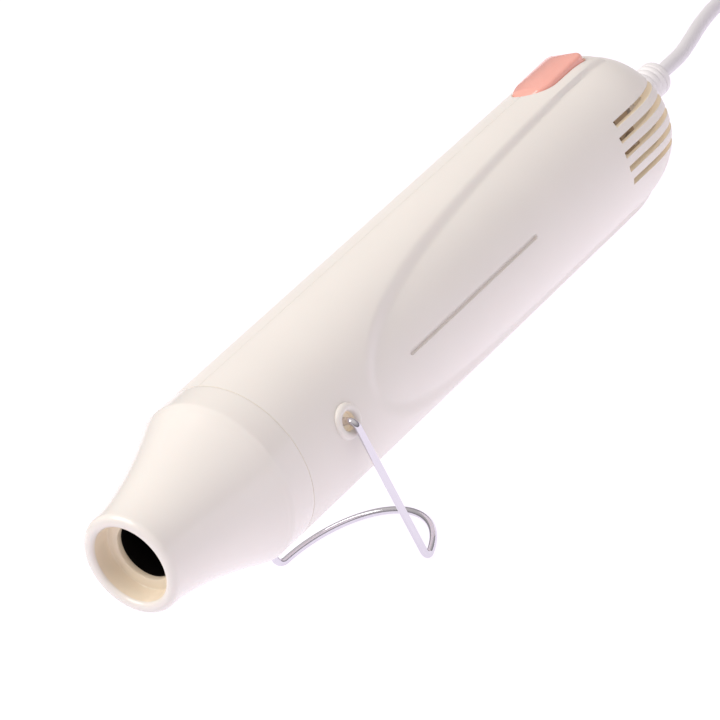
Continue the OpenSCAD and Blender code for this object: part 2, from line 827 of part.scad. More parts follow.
module switch_rocker() {
    color([0.96, 0.62, 0.58]) park() translate([switch_x, 0, rocker_z])
        rotate([0, -rocker_tilt, 0]) difference() {
            union() {
                intersection() {
                    rotate([90, 0, 0]) translate([0, 0, -rocker_w])
                        linear_extrude(height = 2 * rocker_w) rocker_side();
                    linear_extrude(height = far / 8) rocker_plan(0, 0);
                    rocker_crown();
                }
                translate([-4.5, -core_half_w, -2.6]) cube([9, 2 * core_half_w, 5.2]);
                rotate([90, 0, 0]) translate([0, 0, -rocker_pin_len])
                    cylinder(h = 2 * rocker_pin_len, r = rocker_pin_r);
            }
        }
}

rocker_pin_len = body_half_w - 0.2;

// Wire stand, in its own frame: legs down Z, bow towards X, pivot at the origin
bow_tilt = park_pitch - leg_lean;
floor_drop = -min([for (x = stations)
    -x * sin(park_pitch) - skin_radius(x, -90) * cos(park_pitch)]);
pivot_height = floor_drop - pivot_x * sin(park_pitch);
leg_len = (pivot_height - wire_r) / cos(bow_tilt);
elbow_angle = 90 + asin(sin(bow_tilt) * cos(bow_angle));
elbow_reach = bend_r * tan(elbow_angle / 2);
elbow_turn = atan2(sin(bow_angle), cos(bow_tilt) * cos(bow_angle));
bow_r = (leg_y - elbow_reach * sin(bow_angle)) / cos(bow_angle);
bow_tip = bow_r * (1 - sin(bow_angle)) + elbow_reach * cos(bow_angle);

module bend(angle) {
    rotate_extrude(angle = angle) translate([bend_r, 0]) circle(r = wire_r, $fn = 32);
}

// A collar a hair thicker than the wire bridges a joint in it, square to Z
joint_gap = 0.04;

module collar() {
    cylinder(h = 10 * joint_gap, r = wire_r + 0.03, center = true, $fn = 32);
}

module stand_leg() {
    translate([0, bend_r - leg_y, 0]) rotate([-90, 0, 0])
        cylinder(h = leg_y - bend_r - pin_inner_y, r = wire_r, $fn = 32);
    translate([0, bend_r - leg_y, -bend_r]) rotate([0, 0, 180]) rotate([0, -90, 0]) bend(90);
    translate([0, -leg_y, elbow_reach - leg_len + joint_gap])
        cylinder(h = leg_len - elbow_reach - bend_r - joint_gap, r = wire_r, $fn = 32);
    translate([0, -leg_y, elbow_reach - leg_len]) collar();
    translate([bend_r * cos(elbow_turn), bend_r * sin(elbow_turn) - leg_y, elbow_reach - leg_len])
        rotate([0, 0, 180 + elbow_turn]) rotate([-90, 0, 0]) bend(elbow_angle);
    translate([0, -leg_y, -leg_len]) rotate([0, -bow_tilt, 0]) rotate([0, 0, bow_angle])
        translate([elbow_reach, 0, 0]) rotate([0, 90, 0]) collar();
}

module wire_stand() {
    start = bow_angle + joint_gap / bow_r * 180 / PI;
    color([0.8, 0.8, 0.83]) park() translate([pivot_x, 0, 0]) rotate([0, -leg_lean, 0]) union() {
        stand_leg();
        mirror([0, 1, 0]) stand_leg();
        translate([0, 0, -leg_len]) rotate([0, -bow_tilt, 0]) translate([bow_tip - bow_r, 0, 0])
            rotate([0, 0, start - 90]) rotate_extrude(angle = 180 - 2 * start)
                translate([bow_r, 0]) circle(r = wire_r, $fn = 32);
    }
}

// Strain relief, cord clamp and the screws
relief_end = housing_len + relief_len;
relief_round = 1.4;
rib_count = 4;
rib_pitch = 2.1;

module strain_relief() {
    neck_x = cavity_end - 0.1;
    ribs = [for (i = [0 : rib_count - 1])
        let (x = relief_end - 4.4 - rib_pitch * i)
        each [[relief_r, x], [relief_r - 0.45, x - 0.35], [relief_r - 0.45, x - 0.75],
            [relief_r, x - 1.1]]];
    end_curve = [for (i = [0 : 6]) let (a = 90 * i / 6)
        [relief_r - relief_round + relief_round * sin(a),
            relief_end - relief_round + relief_round * cos(a)]];
    color([0.93, 0.92, 0.93]) park() turned(concat(
        [[cord_r + 0.05, neck_x - 2.2], [relief_r + 0.4, neck_x - 2.2],
            [relief_r + 0.4, neck_x], [relief_neck_r, neck_x],
            [relief_neck_r, housing_len + 0.1], [relief_r, housing_len + 0.1]],
        [for (i = [len(ribs) - 1 : -1 : 0]) ribs[i]],
        [for (i = [6 : -1 : 0]) end_curve[i]],
        [[cord_r + 0.05, relief_end]]));
}

module cord_inner() {
    color([0.94, 0.93, 0.94]) park() rod(sheath_x, relief_end - sheath_x, cord_r);
}

module cord_clamp() {
    color([0.88, 0.86, 0.84]) park() difference() {
        translate([clamp_x, -cord_r - clamp_bar_h, -clamp_half_z])
            cube([clamp_len, clamp_bar_h, 2 * clamp_half_z]);
        at_clamp_screws() post(-far / 8, far / 8, clamp_screw_r + 0.2);
    }
}

module screw(r, head_r, head_h, length) {
    difference() {
        union() {
            cylinder(h = length, r = r, $fn = 32);
            translate([0, 0, length]) cylinder(h = head_h, r = head_r, $fn = 48);
        }
        for (a = [0, 90]) rotate([0, 0, a])
            translate([-head_r * 0.6, -0.3, length + head_h - 0.7])
                cube([1.2 * head_r, 0.6, past + 1]);
    }
}

module clamp_screws() {
    color([0.7, 0.7, 0.72]) park() at_clamp_screws() translate([0, clamp_screw_tip, 0])
        rotate([90, 0, 0])
            screw(clamp_screw_r, 1.9, 1.3, clamp_screw_tip + cord_r + clamp_bar_h);
}

module housing_screws() {
    color([0.7, 0.7, 0.72]) park() for (p = post_places)
        translate([p[0], screw_tip_y + 0.3, p[1]]) rotate([-90, 0, 0])
            screw(screw_r, screw_head_r, screw_head_h,
                screw_seat_y - screw_head_h - 0.2 - screw_tip_y - 0.3);
}

// Leads inside the housing: along the wall past the motor, then to a heater terminal
lead_r = 0.7;
wall_run = cavity_r - lead_r - 0.35;

function on_wall(x, r, a) = [x, r * cos(a), r * sin(a)];
function to_terminal(a) = [on_wall(motor_end, wall_run, a), on_wall(motor_end - 14, wall_run, a),
    on_wall(motor_x - 3, wall_run, a), on_wall(fan_x - 4, wall_run, a),
    on_wall(fan_x - 11, wall_run - 2, a),
    on_wall(terminal_x + terminal_len + 6, terminal_r + 1.15, a),
    on_wall(terminal_x + terminal_len + 2.5, terminal_r, a),
    on_wall(terminal_x + terminal_len + 0.05, terminal_r, a)];

module lead_live() {
    contact_x = switch_x + contact_reach + contact_t / 2 + 0.05;
    color([0.5, 0.3, 0.18]) park() tube([[sheath_x - 0.05, 0, 0.9], [sheath_x - 1.2, 0, 0.9],
        [(sheath_x + contact_x) / 2, 0, 0.3], [contact_x + 1.2, 0, -0.3],
        [contact_x, 0, -0.3]], lead_r, 6);
}

module lead_neutral() {
    color([0.2, 0.3, 0.6]) park() tube(concat([[sheath_x - 0.05, 0, -1.1],
        [sheath_x - 1.2, 0, -1.1], [sheath_x - 4, -1.5, -4.5],
        on_wall(sheath_x - 9, wall_run / 2, neutral_angle + 38),
        on_wall(sheath_x - 16, wall_run - 4.5, neutral_angle + 20),
        on_wall(sheath_x - 23, wall_run - 2, neutral_angle + 6),
        on_wall(motor_end + 8, wall_run, neutral_angle)], to_terminal(neutral_angle)), lead_r, 6);
}

module lead_switched() {
    contact_x = switch_x - contact_reach - contact_t / 2 - 0.05;
    color([0.7, 0.16, 0.14]) park() tube(concat([[contact_x, 0, -0.5], [contact_x - 1.2, 0, -0.5],
        [contact_x - 4, 1, -0.3], on_wall(contact_x - 7.5, wall_run / 4, live_angle - 33),
        on_wall(contact_x - 12.5, wall_run - 6.5, live_angle - 12),
        on_wall(motor_end + 6, wall_run - 1, live_angle)], to_terminal(live_angle)), lead_r, 6);
}

module leads_motor() {
    color([0.85, 0.8, 0.3]) park() for (a = motor_angles)
        tube(concat([on_wall(board_x + board_t / 2, board_r + 0.1, a),
            on_wall(board_x + board_t / 2, board_r + 1.5, a),
            on_wall(board_x, board_r + 4.5, a), on_wall(board_x - 3, wall_run - 1, a)],
            to_terminal(a)), lead_r, 6);
}

// Parking: nose up by the pitch, on the floor, centred on the tool without its lead
park_min_x = (lip_r - nozzle_len) * cos(park_pitch)
    - (mouth_r - lip_r) * sin(park_pitch) - lip_r;
park_max_x = (relief_end - relief_round) * cos(park_pitch)
    + (relief_r - relief_round) * sin(park_pitch) + relief_round;
park_shift_x = -(park_min_x + park_max_x) / 2;

module park() {
    translate([park_shift_x, 0, floor_drop]) rotate([0, park_pitch, 0]) children();
}

function parked(p) = [
    p[0] * cos(park_pitch) + p[2] * sin(park_pitch) + park_shift_x,
    p[1],
    -p[0] * sin(park_pitch) + p[2] * cos(park_pitch) + floor_drop];

// Free stretch of the lead: steps from the strain relief's end, each
// [along X, along Y, height above the table]
cord_exit = parked([relief_end, 0, 0]);
cord_dir = [cos(park_pitch), 0, -sin(park_pitch)];
route_steps = [[12, 0.8, 15.2], [18, 2.4, 14.2], [24, 4.4, 13.2], [30, 6.6, 12.1],
    [36, 8.6, 10.9], [42, 10.4, 9.6], [48, 11.7, 8.2], [54, 12.4, 6.8], [60, 12.5, 5.5],
    [66, 11.9, 4.3], [72, 10.6, 3.3]];

// Put away lead: wound clockwise from the outside, in four layers
hank_at = [68.5, -18];
hank_start = 50;
hank_layers = 4;
hank_pitch = cord_d + hank_gap;
hank_rings = 24;
turns_a_layer = hank_turns / hank_layers;

function layer_of(s) = min(hank_layers - 1, floor(s / turns_a_layer));
function hank_radius(s) =
    let (k = layer_of(s), f = s / turns_a_layer - k, in = hank_pitch * turns_a_layer)
    hank_r - in * (k % 2 == 0 ? f : 1 - f);
function hank_height(s) =
    let (k = round(s / turns_a_layer), d = s - k * turns_a_layer)
    k == 0 ? 0 : k == hank_layers ? hank_layers - 1
        : k - 1 + soft_step((d + 0.25) / 0.5);
function hank_point(s) =
    let (a = hank_start - 360 * s)
    [cord_exit[0] + hank_at[0] + hank_radius(s) * cos(a),
        cord_exit[1] + hank_at[1] + hank_radius(s) * sin(a),
        cord_r + hank_pitch * hank_height(s)];
hank_count = ceil(hank_turns * hank_rings);
hank_points = [for (i = [0 : hank_count]) hank_point(hank_turns * i / hank_count)];
hank_in_dir = unit([sin(hank_start), -cos(hank_start), 0]);
hank_end_angle = hank_start - 360 * hank_turns;
hank_out_dir = [sin(hank_end_angle), -cos(hank_end_angle), 0];
hank_in = hank_points[0] - cord_d * hank_in_dir;
hank_out = hank_points[hank_count] + cord_d * hank_out_dir;
hank_path = concat([hank_in], hank_points, [hank_out]);
echo(least_gap_of_lead = min([for (i = [0 : 6 : hank_count - hank_rings])
    min([for (j = [i + round(hank_rings / 2) : hank_count])
        norm(hank_points[j] - hank_points[i])])]) - cord_d);

cord_path = concat([cord_exit, cord_exit + cord_d * cord_dir],
    [for (p = route_steps) [cord_exit[0] + p[0], cord_exit[1] + p[1], p[2]]],
    [hank_in - cord_d * hank_in_dir, hank_in]);

// Plug, lying flat beside the put away lead with its pins towards the tool
plug_h = 13.7;
plug_w = 35.3;
plug_len = 36;
plug_neck = 10;
tail_run = 34;
plug_rear = [hank_out[0] - tail_run, hank_out[1] - 3, plug_h / 2];
tail_steps = [[8, 0, 0.2], [16, -0.6, 1.7], [23, -1.8, 4.4], [29, -2.7, 7.4]];
tail_path = concat([hank_out, hank_out + cord_d * hank_out_dir],
    [for (p = tail_steps) [hank_out[0] - p[0], hank_out[1] + p[1],
        hank_out[2] - p[2] * (hank_out[2] - plug_h / 2) / 9.2]],
    [plug_rear + [cord_d, 0, 0], plug_rear]);

function path_length(p) = len(p) < 2 ? 0 : total([for (i = [1 : len(p) - 1]) norm(p[i] - p[i - 1])]);
function total(list, i = 0) = i >= len(list) ? 0 : list[i] + total(list, i + 1);
echo(lead_length = path_length(cord_path) + path_length(hank_path) + path_length(tail_path));

module cord() {
    color([0.94, 0.93, 0.95]) tube(cord_path, cord_r, 8);
}

module cord_coil() {
    color([0.94, 0.93, 0.95]) tube(hank_path, cord_r, 6);
}

module cord_tail() {
    color([0.94, 0.93, 0.95]) tube(tail_path, cord_r, 8);
}

// Plug drawn with its pins along -X and its cord end at the origin
module plug_plan() {
    waist = 9;
    nose = plug_w / 2;
    polygon(concat([[0, 3.4], [-plug_neck, waist / 2]],
        [for (i = [0 : 10]) let (t = i / 10)
            [-plug_neck - mix(0, plug_len - plug_neck - 8, t),
                waist / 2 + (nose - waist / 2) * soft_step(t)]],
        [[-plug_len + 2, nose], [-plug_len, nose - 2.4], [-plug_len, -nose + 2.4],
            [-plug_len + 2, -nose]],
        [for (i = [10 : -1 : 0]) let (t = i / 10)
            [-plug_neck - mix(0, plug_len - plug_neck - 8, t),
                -waist / 2 - (nose - waist / 2) * soft_step(t)]],
        [[-plug_neck, -waist / 2], [0, -3.4]]));
}

module plug_profile() {
    half = plug_h / 2;
    polygon([[0, 3.2], [-plug_neck, 4.2], [-plug_neck - 6, half], [-plug_len + 1.5, half],
        [-plug_len, half - 1.5], [-plug_len, 1.5 - half], [-plug_len + 1.5, -half],
        [-plug_neck - 6, -half], [-plug_neck, -4.2], [0, -3.2]]);
}

module plug_body() {
    color([0.93, 0.92, 0.94]) translate(plug_rear) difference() {
        intersection() {
            translate([0, 0, -plug_h]) linear_extrude(height = 2 * plug_h) plug_plan();
            rotate([90, 0, 0]) translate([0, 0, -plug_w]) linear_extrude(height = 2 * plug_w)
                plug_profile();
        }
        for (i = [0 : 3]) translate([-2 - 2.2 * i, 0, 0]) difference() {
            translate([-1, -far / 8, -far / 8]) cube([1, far / 4, far / 4]);
            translate([-1 - past, 0, 0]) rotate([0, 90, 0]) cylinder(h = 4, r = 2.9);
        }
        for (s = [-1, 1]) translate([-plug_len - past, s * pin_pitch / 2, 0])
            rotate([0, 90, 0]) cylinder(h = 9, r = pin_core_r + 0.02);
    }
}

pin_core_r = pin_r - 0.4;
sleeve_r = pin_r;
sleeve_len = 10;

module plug_pins() {
    color([0.8, 0.78, 0.7]) translate(plug_rear) for (s = [-1, 1])
        translate([0, s * pin_pitch / 2, 0]) turned([
            [0, -plug_len - pin_len], [pin_r - 0.8, -plug_len - pin_len],
            [pin_r, -plug_len - pin_len + 0.8], [pin_r, -plug_len - sleeve_len],
            [pin_core_r, -plug_len - sleeve_len], [pin_core_r, -plug_len + 7.5],
            [0, -plug_len + 7.5]]);
}

module pin_sleeves() {
    color([0.9, 0.9, 0.92]) translate(plug_rear) for (s = [-1, 1])
        translate([0, s * pin_pitch / 2, 0])
            pipe(-plug_len - sleeve_len + 0.02, sleeve_len - 0.04, pin_core_r + 0.02, sleeve_r);
}

housing_left();
housing_right();
nozzle();
outlet_cone();
heater_shield();
mica_sleeve();
mica_plate_flat();
mica_plate_upright();
heating_coil();
front_insulator();
rear_insulator();
heater_terminals();
thermostat();
thermal_fuse();
fan();
motor_shaft();
motor_armature();
motor_magnets();
motor_can();
motor_end_cap();
motor_terminals();
motor_holder();
rectifier_board();
diodes();
capacitor();
switch_body();
switch_contacts();
switch_rocker();
wire_stand();
strain_relief();
cord_inner();
cord_clamp();
clamp_screws();
housing_screws();
lead_live();
lead_switched();
lead_neutral();
leads_motor();
cord();
cord_coil();
cord_tail();
plug_body();
plug_pins();
pin_sleeves();
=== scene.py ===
import math

import bmesh
import bpy
from mathutils import Matrix, Vector


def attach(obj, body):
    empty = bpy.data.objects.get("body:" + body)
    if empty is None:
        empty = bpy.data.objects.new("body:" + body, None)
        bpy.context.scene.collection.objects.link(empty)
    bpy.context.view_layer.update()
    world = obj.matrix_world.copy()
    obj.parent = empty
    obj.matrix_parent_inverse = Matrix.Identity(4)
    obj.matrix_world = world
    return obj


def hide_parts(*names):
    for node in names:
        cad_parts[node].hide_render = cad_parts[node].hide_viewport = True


# The tool is drawn along its own axis in millimetres: +X from the nozzle to the lead, +Z towards
# the switch, x = 0 at the joint of nozzle and housing. parked() sets it on its stand, in metres.

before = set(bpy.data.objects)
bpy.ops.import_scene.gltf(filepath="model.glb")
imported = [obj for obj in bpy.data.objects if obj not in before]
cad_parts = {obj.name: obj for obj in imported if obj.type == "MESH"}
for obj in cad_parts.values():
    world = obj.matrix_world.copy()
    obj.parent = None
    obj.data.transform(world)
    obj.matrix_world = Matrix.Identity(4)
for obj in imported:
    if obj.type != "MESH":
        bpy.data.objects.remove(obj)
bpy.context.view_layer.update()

MM = 0.001
PAST_SKIN = 40
PITCH = math.radians(7.9)
SHIFT_X = -74.9506
FLOOR_DROP = 44.2455


def soft_step(t):
    c = max(0.0, min(1.0, t))
    return c * c * (3 - 2 * c)


def mix(a, b, t):
    return a + (b - a) * t


def parked(p):
    x, y, z = p
    return Vector((
        x * math.cos(PITCH) + z * math.sin(PITCH) + SHIFT_X,
        y,
        z * math.cos(PITCH) - x * math.sin(PITCH) + FLOOR_DROP,
    )) * MM


def tool_frame(p):
    """From the table's frame back to the tool's own, both in millimetres."""
    x = p[0] - SHIFT_X
    z = p[2] - FLOOR_DROP
    return (
        x * math.cos(PITCH) - z * math.sin(PITCH),
        p[1],
        z * math.cos(PITCH) + x * math.sin(PITCH),
    )


def on_table(p):
    return Vector(p) * MM


def mesh_piece(name, points, faces, place=parked, sharp=35):
    """A mesh of points in millimetres, smooth but for its edges sharper than the angle."""
    mesh = bpy.data.meshes.new(name)
    mesh.from_pydata([place(p) for p in points], [], faces)
    piece = bpy.data.objects.new(name, mesh)
    bpy.context.scene.collection.objects.link(piece)
    clean(piece, sharp)
    return piece


def clean(piece, sharp):
    bm = bmesh.new()
    bm.from_mesh(piece.data)
    bmesh.ops.remove_doubles(bm, verts=bm.verts, dist=1e-6)
    bmesh.ops.recalc_face_normals(bm, faces=bm.faces)
    for face in bm.faces:
        face.smooth = True
    for edge in bm.edges:
        edge.smooth = edge.calc_face_angle(0) < math.radians(sharp)
    bm.to_mesh(piece.data)
    bm.free()


def cut(piece, cutter, operation="DIFFERENCE"):
    """Cuts the cutter out of the piece and removes the cutter."""
    modifier = piece.modifiers.new("cut", "BOOLEAN")
    modifier.operation = operation
    modifier.solver = "EXACT"
    modifier.object = cutter
    result = piece.evaluated_get(bpy.context.evaluated_depsgraph_get())
    mesh = bpy.data.meshes.new_from_object(result)
    piece.modifiers.clear()
    piece.data = mesh
    bpy.data.objects.remove(cutter)


def mark_painted_shade(piece, is_inner):
    """Faces whose middle, in the tool's own frame, passes the test are marked for the painted warm
    shade and the painted glow.
    """
    marks = piece.data.attributes.new("inner", "FLOAT", "FACE")
    for face, mark in zip(piece.data.polygons, marks.data):
        mark.value = float(is_inner(*tool_frame(face.center / MM)))


def grid_faces(rows, columns, closed_rows=False, closed_columns=False):
    last_row = rows if closed_rows else rows - 1
    last_column = columns if closed_columns else columns - 1
    return [
        (
            i * columns + j,
            i * columns + (j + 1) % columns,
            (i + 1) % rows * columns + (j + 1) % columns,
            (i + 1) % rows * columns + j,
        )
        for i in range(last_row)
        for j in range(last_column)
    ]


def turned(name, profile, steps=192, closed=True, place=parked, sharp=35):
    """A profile of (radius, x) turned about the tool's axis."""
    points = []
    for i in range(steps):
        a = 2 * math.pi * i / steps
        points += [(x, r * math.cos(a), r * math.sin(a)) for r, x in profile]
    faces = grid_faces(steps, len(profile), closed_rows=True, closed_columns=closed)
    return mesh_piece(name, points, faces, place, sharp)


def unit(v):
    return Vector(v).normalized()


def tube(name, path, radius, sides=24, place=parked):
    """A round tube along a path, with its ring's frame carried along the path."""
    path = [Vector(p) for p in path]
    count = len(path)
    side = unit((path[1] - path[0]).orthogonal())
    points = []
    for i, p in enumerate(path):
        ahead = unit(path[min(i + 1, count - 1)] - path[max(i - 1, 0)])
        side = unit(side - ahead * side.dot(ahead))
        up = ahead.cross(side)
        for j in range(sides):
            a = 2 * math.pi * j / sides
            points.append(p + (side * math.cos(a) + up * math.sin(a)) * radius)
    faces = grid_faces(count, sides, closed_columns=True)
    faces.append(tuple(range(sides)))
    faces.append(tuple((count - 1) * sides + j for j in range(sides)))
    return mesh_piece(name, points, faces, place, 50)


def rounded(path, radius, steps=10):
    """The path's corners filleted. radius has one value for each corner."""
    path = [Vector(p) for p in path]
    result = [path[0]]
    for i in range(1, len(path) - 1):
        to_last = unit(path[i - 1] - path[i])
        to_next = unit(path[i + 1] - path[i])
        half = to_last.angle(to_next) / 2
        middle = path[i] + unit(to_last + to_next) * (radius[i - 1] / math.sin(half))
        start = path[i] + to_last * (radius[i - 1] / math.tan(half)) - middle
        end = path[i] + to_next * (radius[i - 1] / math.tan(half)) - middle
        turn = start.angle(end)
        for k in range(steps + 1):
            t = k / steps
            weight_a = math.sin((1 - t) * turn) / math.sin(turn)
            weight_b = math.sin(t * turn) / math.sin(turn)
            result.append(middle + start * weight_a + end * weight_b)
    result.append(path[-1])
    return result


def smooth_path(points, step):
    """A curve through the points, with a point about every step."""
    points = [Vector(p) for p in points]
    ends = [points[0] * 2 - points[1]] + points + [points[-1] * 2 - points[-2]]
    result = [points[0]]
    for i in range(1, len(ends) - 2):
        a, b, c, d = ends[i - 1 : i + 3]
        length = (c - b).length
        before = (b - a) / max((b - a).length, 1e-9)
        after = (d - c) / max((d - c).length, 1e-9)
        along = (c - b) / length
        leave = unit(before + along) * length
        arrive = unit(after + along) * length
        count = max(1, round(length / step))
        for k in range(1, count + 1):
            t = k / count
            result.append(
                b * (2 * t**3 - 3 * t**2 + 1)
                + leave * (t**3 - 2 * t**2 + t)
                + c * (3 * t**2 - 2 * t**3)
                + arrive * (t**3 - t**2)
            )
    return result


# Camera

def make_camera():
    data = bpy.data.cameras.new("camera")
    data.lens = 236.856
    data.sensor_width = 36
    data.clip_start = 0.05
    data.clip_end = 20
    camera = bpy.data.objects.new("camera", data)
    right = Vector((0.49374168, -0.73614923, -0.46292922))
    up = Vector((0.62623444, -0.06836574, 0.77663154))
    back = Vector((-0.60336521, -0.67335759, 0.42724699))
    turn = Matrix((right, up, back)).transposed()
    camera.matrix_world = Matrix.Translation((-0.725481, -0.783480, 0.532555)) @ turn.to_4x4()
    bpy.context.scene.collection.objects.link(camera)
    bpy.context.scene.camera = camera


make_camera()

# Lead: the same route as its solids

CORD_D = 4.2
CORD_R = CORD_D / 2
HOUSING_LEN = 180
RELIEF_LEN = 16.5
RELIEF_END = HOUSING_LEN + RELIEF_LEN
CORD_EXIT = parked((RELIEF_END, 0, 0)) / MM
CORD_DIR = Vector((math.cos(PITCH), 0, -math.sin(PITCH)))
ROUTE_STEPS = [
    (12, 0.8, 15.2), (18, 2.4, 14.2), (24, 4.4, 13.2), (30, 6.6, 12.1), (36, 8.6, 10.9),
    (42, 10.4, 9.6), (48, 11.7, 8.2), (54, 12.4, 6.8), (60, 12.5, 5.5), (66, 11.9, 4.3),
    (72, 10.6, 3.3),
]
HANK_AT = (68.5, -18)
HANK_START = 50
HANK_LAYERS = 4
HANK_TURNS = 9.39
HANK_R = 28.6
HANK_PITCH = CORD_D + 0.45
HANK_RINGS = 24
PLUG_H = 13.7
PLUG_W = 35.3
PLUG_LEN = 36
TAIL_RUN = 34
TAIL_ASIDE = 3
TAIL_FALL = 9.2
TAIL_STEPS = [(8, 0, 0.2), (16, -0.6, 1.7), (23, -1.8, 4.4), (29, -2.7, 7.4)]


def hank_point(s):
    a_layer = HANK_TURNS / HANK_LAYERS
    layer = min(HANK_LAYERS - 1, int(s / a_layer))
    part = s / a_layer - layer
    radius = HANK_R - HANK_PITCH * a_layer * (part if layer % 2 == 0 else 1 - part)
    nearest = round(s / a_layer)
    height = nearest - 1 + soft_step((s - nearest * a_layer + 0.25) / 0.5)
    if nearest == 0:
        height = 0
    if nearest == HANK_LAYERS:
        height = HANK_LAYERS - 1
    a = math.radians(HANK_START - 360 * s)
    return Vector((
        CORD_EXIT.x + HANK_AT[0] + radius * math.cos(a),
        CORD_EXIT.y + HANK_AT[1] + radius * math.sin(a),
        CORD_R + HANK_PITCH * height,
    ))


HANK_COUNT = math.ceil(HANK_TURNS * HANK_RINGS)
HANK_POINTS = [hank_point(HANK_TURNS * i / HANK_COUNT) for i in range(HANK_COUNT + 1)]


def clockwise(angle):
    a = math.radians(angle)
    return Vector((math.sin(a), -math.cos(a), 0))


HANK_IN_DIR = clockwise(HANK_START)
HANK_OUT_DIR = clockwise(HANK_START - 360 * HANK_TURNS)
HANK_IN = HANK_POINTS[0] - HANK_IN_DIR * CORD_D
HANK_OUT = HANK_POINTS[-1] + HANK_OUT_DIR * CORD_D
PLUG_REAR = Vector((HANK_OUT.x - TAIL_RUN, HANK_OUT.y - TAIL_ASIDE, PLUG_H / 2))


def lead_points():
    fall = (HANK_OUT.z - PLUG_H / 2) / TAIL_FALL
    route = [CORD_EXIT, CORD_EXIT + CORD_DIR * CORD_D]
    route += [Vector((CORD_EXIT.x + x, CORD_EXIT.y + y, z)) for x, y, z in ROUTE_STEPS]
    route += [HANK_IN - HANK_IN_DIR * CORD_D, HANK_IN]
    route += HANK_POINTS
    route += [HANK_OUT, HANK_OUT + HANK_OUT_DIR * CORD_D]
    route += [HANK_OUT + Vector((-x, y, -z * fall)) for x, y, z in TAIL_STEPS]
    route += [PLUG_REAR + Vector((CORD_D, 0, 0)), PLUG_REAR]
    return smooth_path(route, 2.0)


def make_lead():
    path = lead_points()
    lead = tube("lead", path, CORD_R - 0.01, 20, on_table)
    return lead, [list(on_table(p)) for p in path]


# Housing

BARREL_R = 22.5
WALL = 2.6
DOME_LEN = 23
DOME_FLAT_R = 6.6
DOME_POWER = 2.2
DOME_X = HOUSING_LEN - DOME_LEN
GRIP_DEPTH = 1.2
DOME_DEPTH = 0.3
FADE_X = 155
GRIP_X = 28.8
GRIP_SWEEP = 43
SPINE_ANGLE = 68.5
BELLY_ANGLE = 70
GRIP_BAND = 5
SPINE_BAND = 1.4
SPINE_END = HOUSING_LEN - 11
GROOVE_X = 48.1
GROOVE_LEN = 57.6
GROOVE_W = 1.1
GROOVE_D = 0.9
GROOVE_Z = 0.9
CAVITY_R = BARREL_R - WALL
CAVITY_END = HOUSING_LEN - WALL
CAVITY_FLAT_R = DOME_FLAT_R - 1.4
CORD_HOLE_R = 3.7
SEAM_D = 0.12
INNER_FROM = 0.4


def dome_drop(x, start, length, fall):
    u = max(0.0, min(1.0, (x - start) / length))
    return fall * (1 - (1 - u**DOME_POWER) ** (1 / DOME_POWER))


def sleeve_radius(x):
    return BARREL_R - dome_drop(x, DOME_X, DOME_LEN, BARREL_R - DOME_FLAT_R)


def grip_inside(x, a):
    e = math.exp(-max(0, x - GRIP_X) / GRIP_SWEEP)
    limit = BELLY_ANGLE if a < 0 else SPINE_ANGLE
    level = 1 - e - (a / limit) ** 2
    slope_x = e / GRIP_SWEEP
    slope_a = 2 * abs(a) / limit**2 * 180 / math.pi / BARREL_R
    ahead = x - GRIP_X if x < GRIP_X else level / math.hypot(slope_x, slope_a, 0.004)
    return max(ahead, x - SPINE_END)


def band_at(x):
    return mix(GRIP_BAND, SPINE_BAND, soft_step((x - GRIP_X) / (SPINE_END - GRIP_X)))


def groove_depth(x, z):
    half = GROOVE_W / 2
    near = max(GROOVE_X + half, min(GROOVE_X + GROOVE_LEN - half, x))
    away = math.hypot(x - near, z - GROOVE_Z) - half
    return GROOVE_D * soft_step((0.12 - away) / 0.3)


def skin_radius(x, a):
    depth = mix(GRIP_DEPTH, DOME_DEPTH, soft_step((x - FADE_X) / (HOUSING_LEN - FADE_X)))
    r = sleeve_radius(x) - depth * soft_step(grip_inside(x, a) / band_at(x))
    r -= SEAM_D * soft_step((abs(a) - 89.3) / 0.7)
    if 0 < a < 9 and GROOVE_X - 1 < x < GROOVE_X + GROOVE_LEN + 1:
        r -= groove_depth(x, r * math.sin(math.radians(a)))
    return r


def inside_skin(x, y, z):
    r = math.hypot(y, z)
    a = math.degrees(math.asin(max(-1, min(1, z / max(r, 0.01)))))
    return r < skin_radius(x, a) - INNER_FROM


def skin_angles():
    coarse = [-90 + 1.5 * i for i in range(1, 60)]
    fine = [0.25 * i for i in range(25)]
    seam = [-90, -89.65, -89.3, 89.3, 89.65, 90]
    coarse = [a for a in coarse + [1.5 * i for i in range(60)] if not -0.2 < a < 6.2]
    return sorted(set(coarse + fine + seam))


def skin_stations():
    front = [1.2 * i for i in range(24)]
    recess = [GRIP_X - 0.4 + 0.55 * i for i in range(33)]
    ends = [GROOVE_X + s + 0.12 * i for s in (-0.4, GROOVE_LEN - 1) for i in range(14)]
    grip = [48.8 + 1.5 * i for i in range(72)]
    grip = [x for x in grip if not GROOVE_X + GROOVE_LEN - 1.6 < x < GROOVE_X + GROOVE_LEN + 1]
    rear = [DOME_X - 0.8 + 0.4 * i for i in range(3)]
    dome = [DOME_X + DOME_LEN * math.sin(math.radians(90 * i / 48)) for i in range(1, 49)]
    spine = [SPINE_END - 3.2 + 0.32 * i for i in range(15)]
    grip = [x for x in grip if x < DOME_X - 1]
    stations = sorted(front + recess + ends + grip + rear + dome + spine)
    kept = [stations[0]]
    for x in stations[1:]:
        if x - kept[-1] > 0.08 or x == HOUSING_LEN:
            kept.append(x)
    return kept


def cavity_profile():
    """The inside from the rear to the front, as (radius, x)."""
    length = DOME_LEN - WALL
    profile = []
    for i in range(24, -1, -1):
        x = DOME_X + length * math.sin(math.radians(90 * i / 24))
        profile.append((CAVITY_R - dome_drop(x, DOME_X, length, CAVITY_R - CAVITY_FLAT_R), x))
    profile += [(CAVITY_R, DOME_X * (1 - i / 12)) for i in range(1, 13)]
    return profile


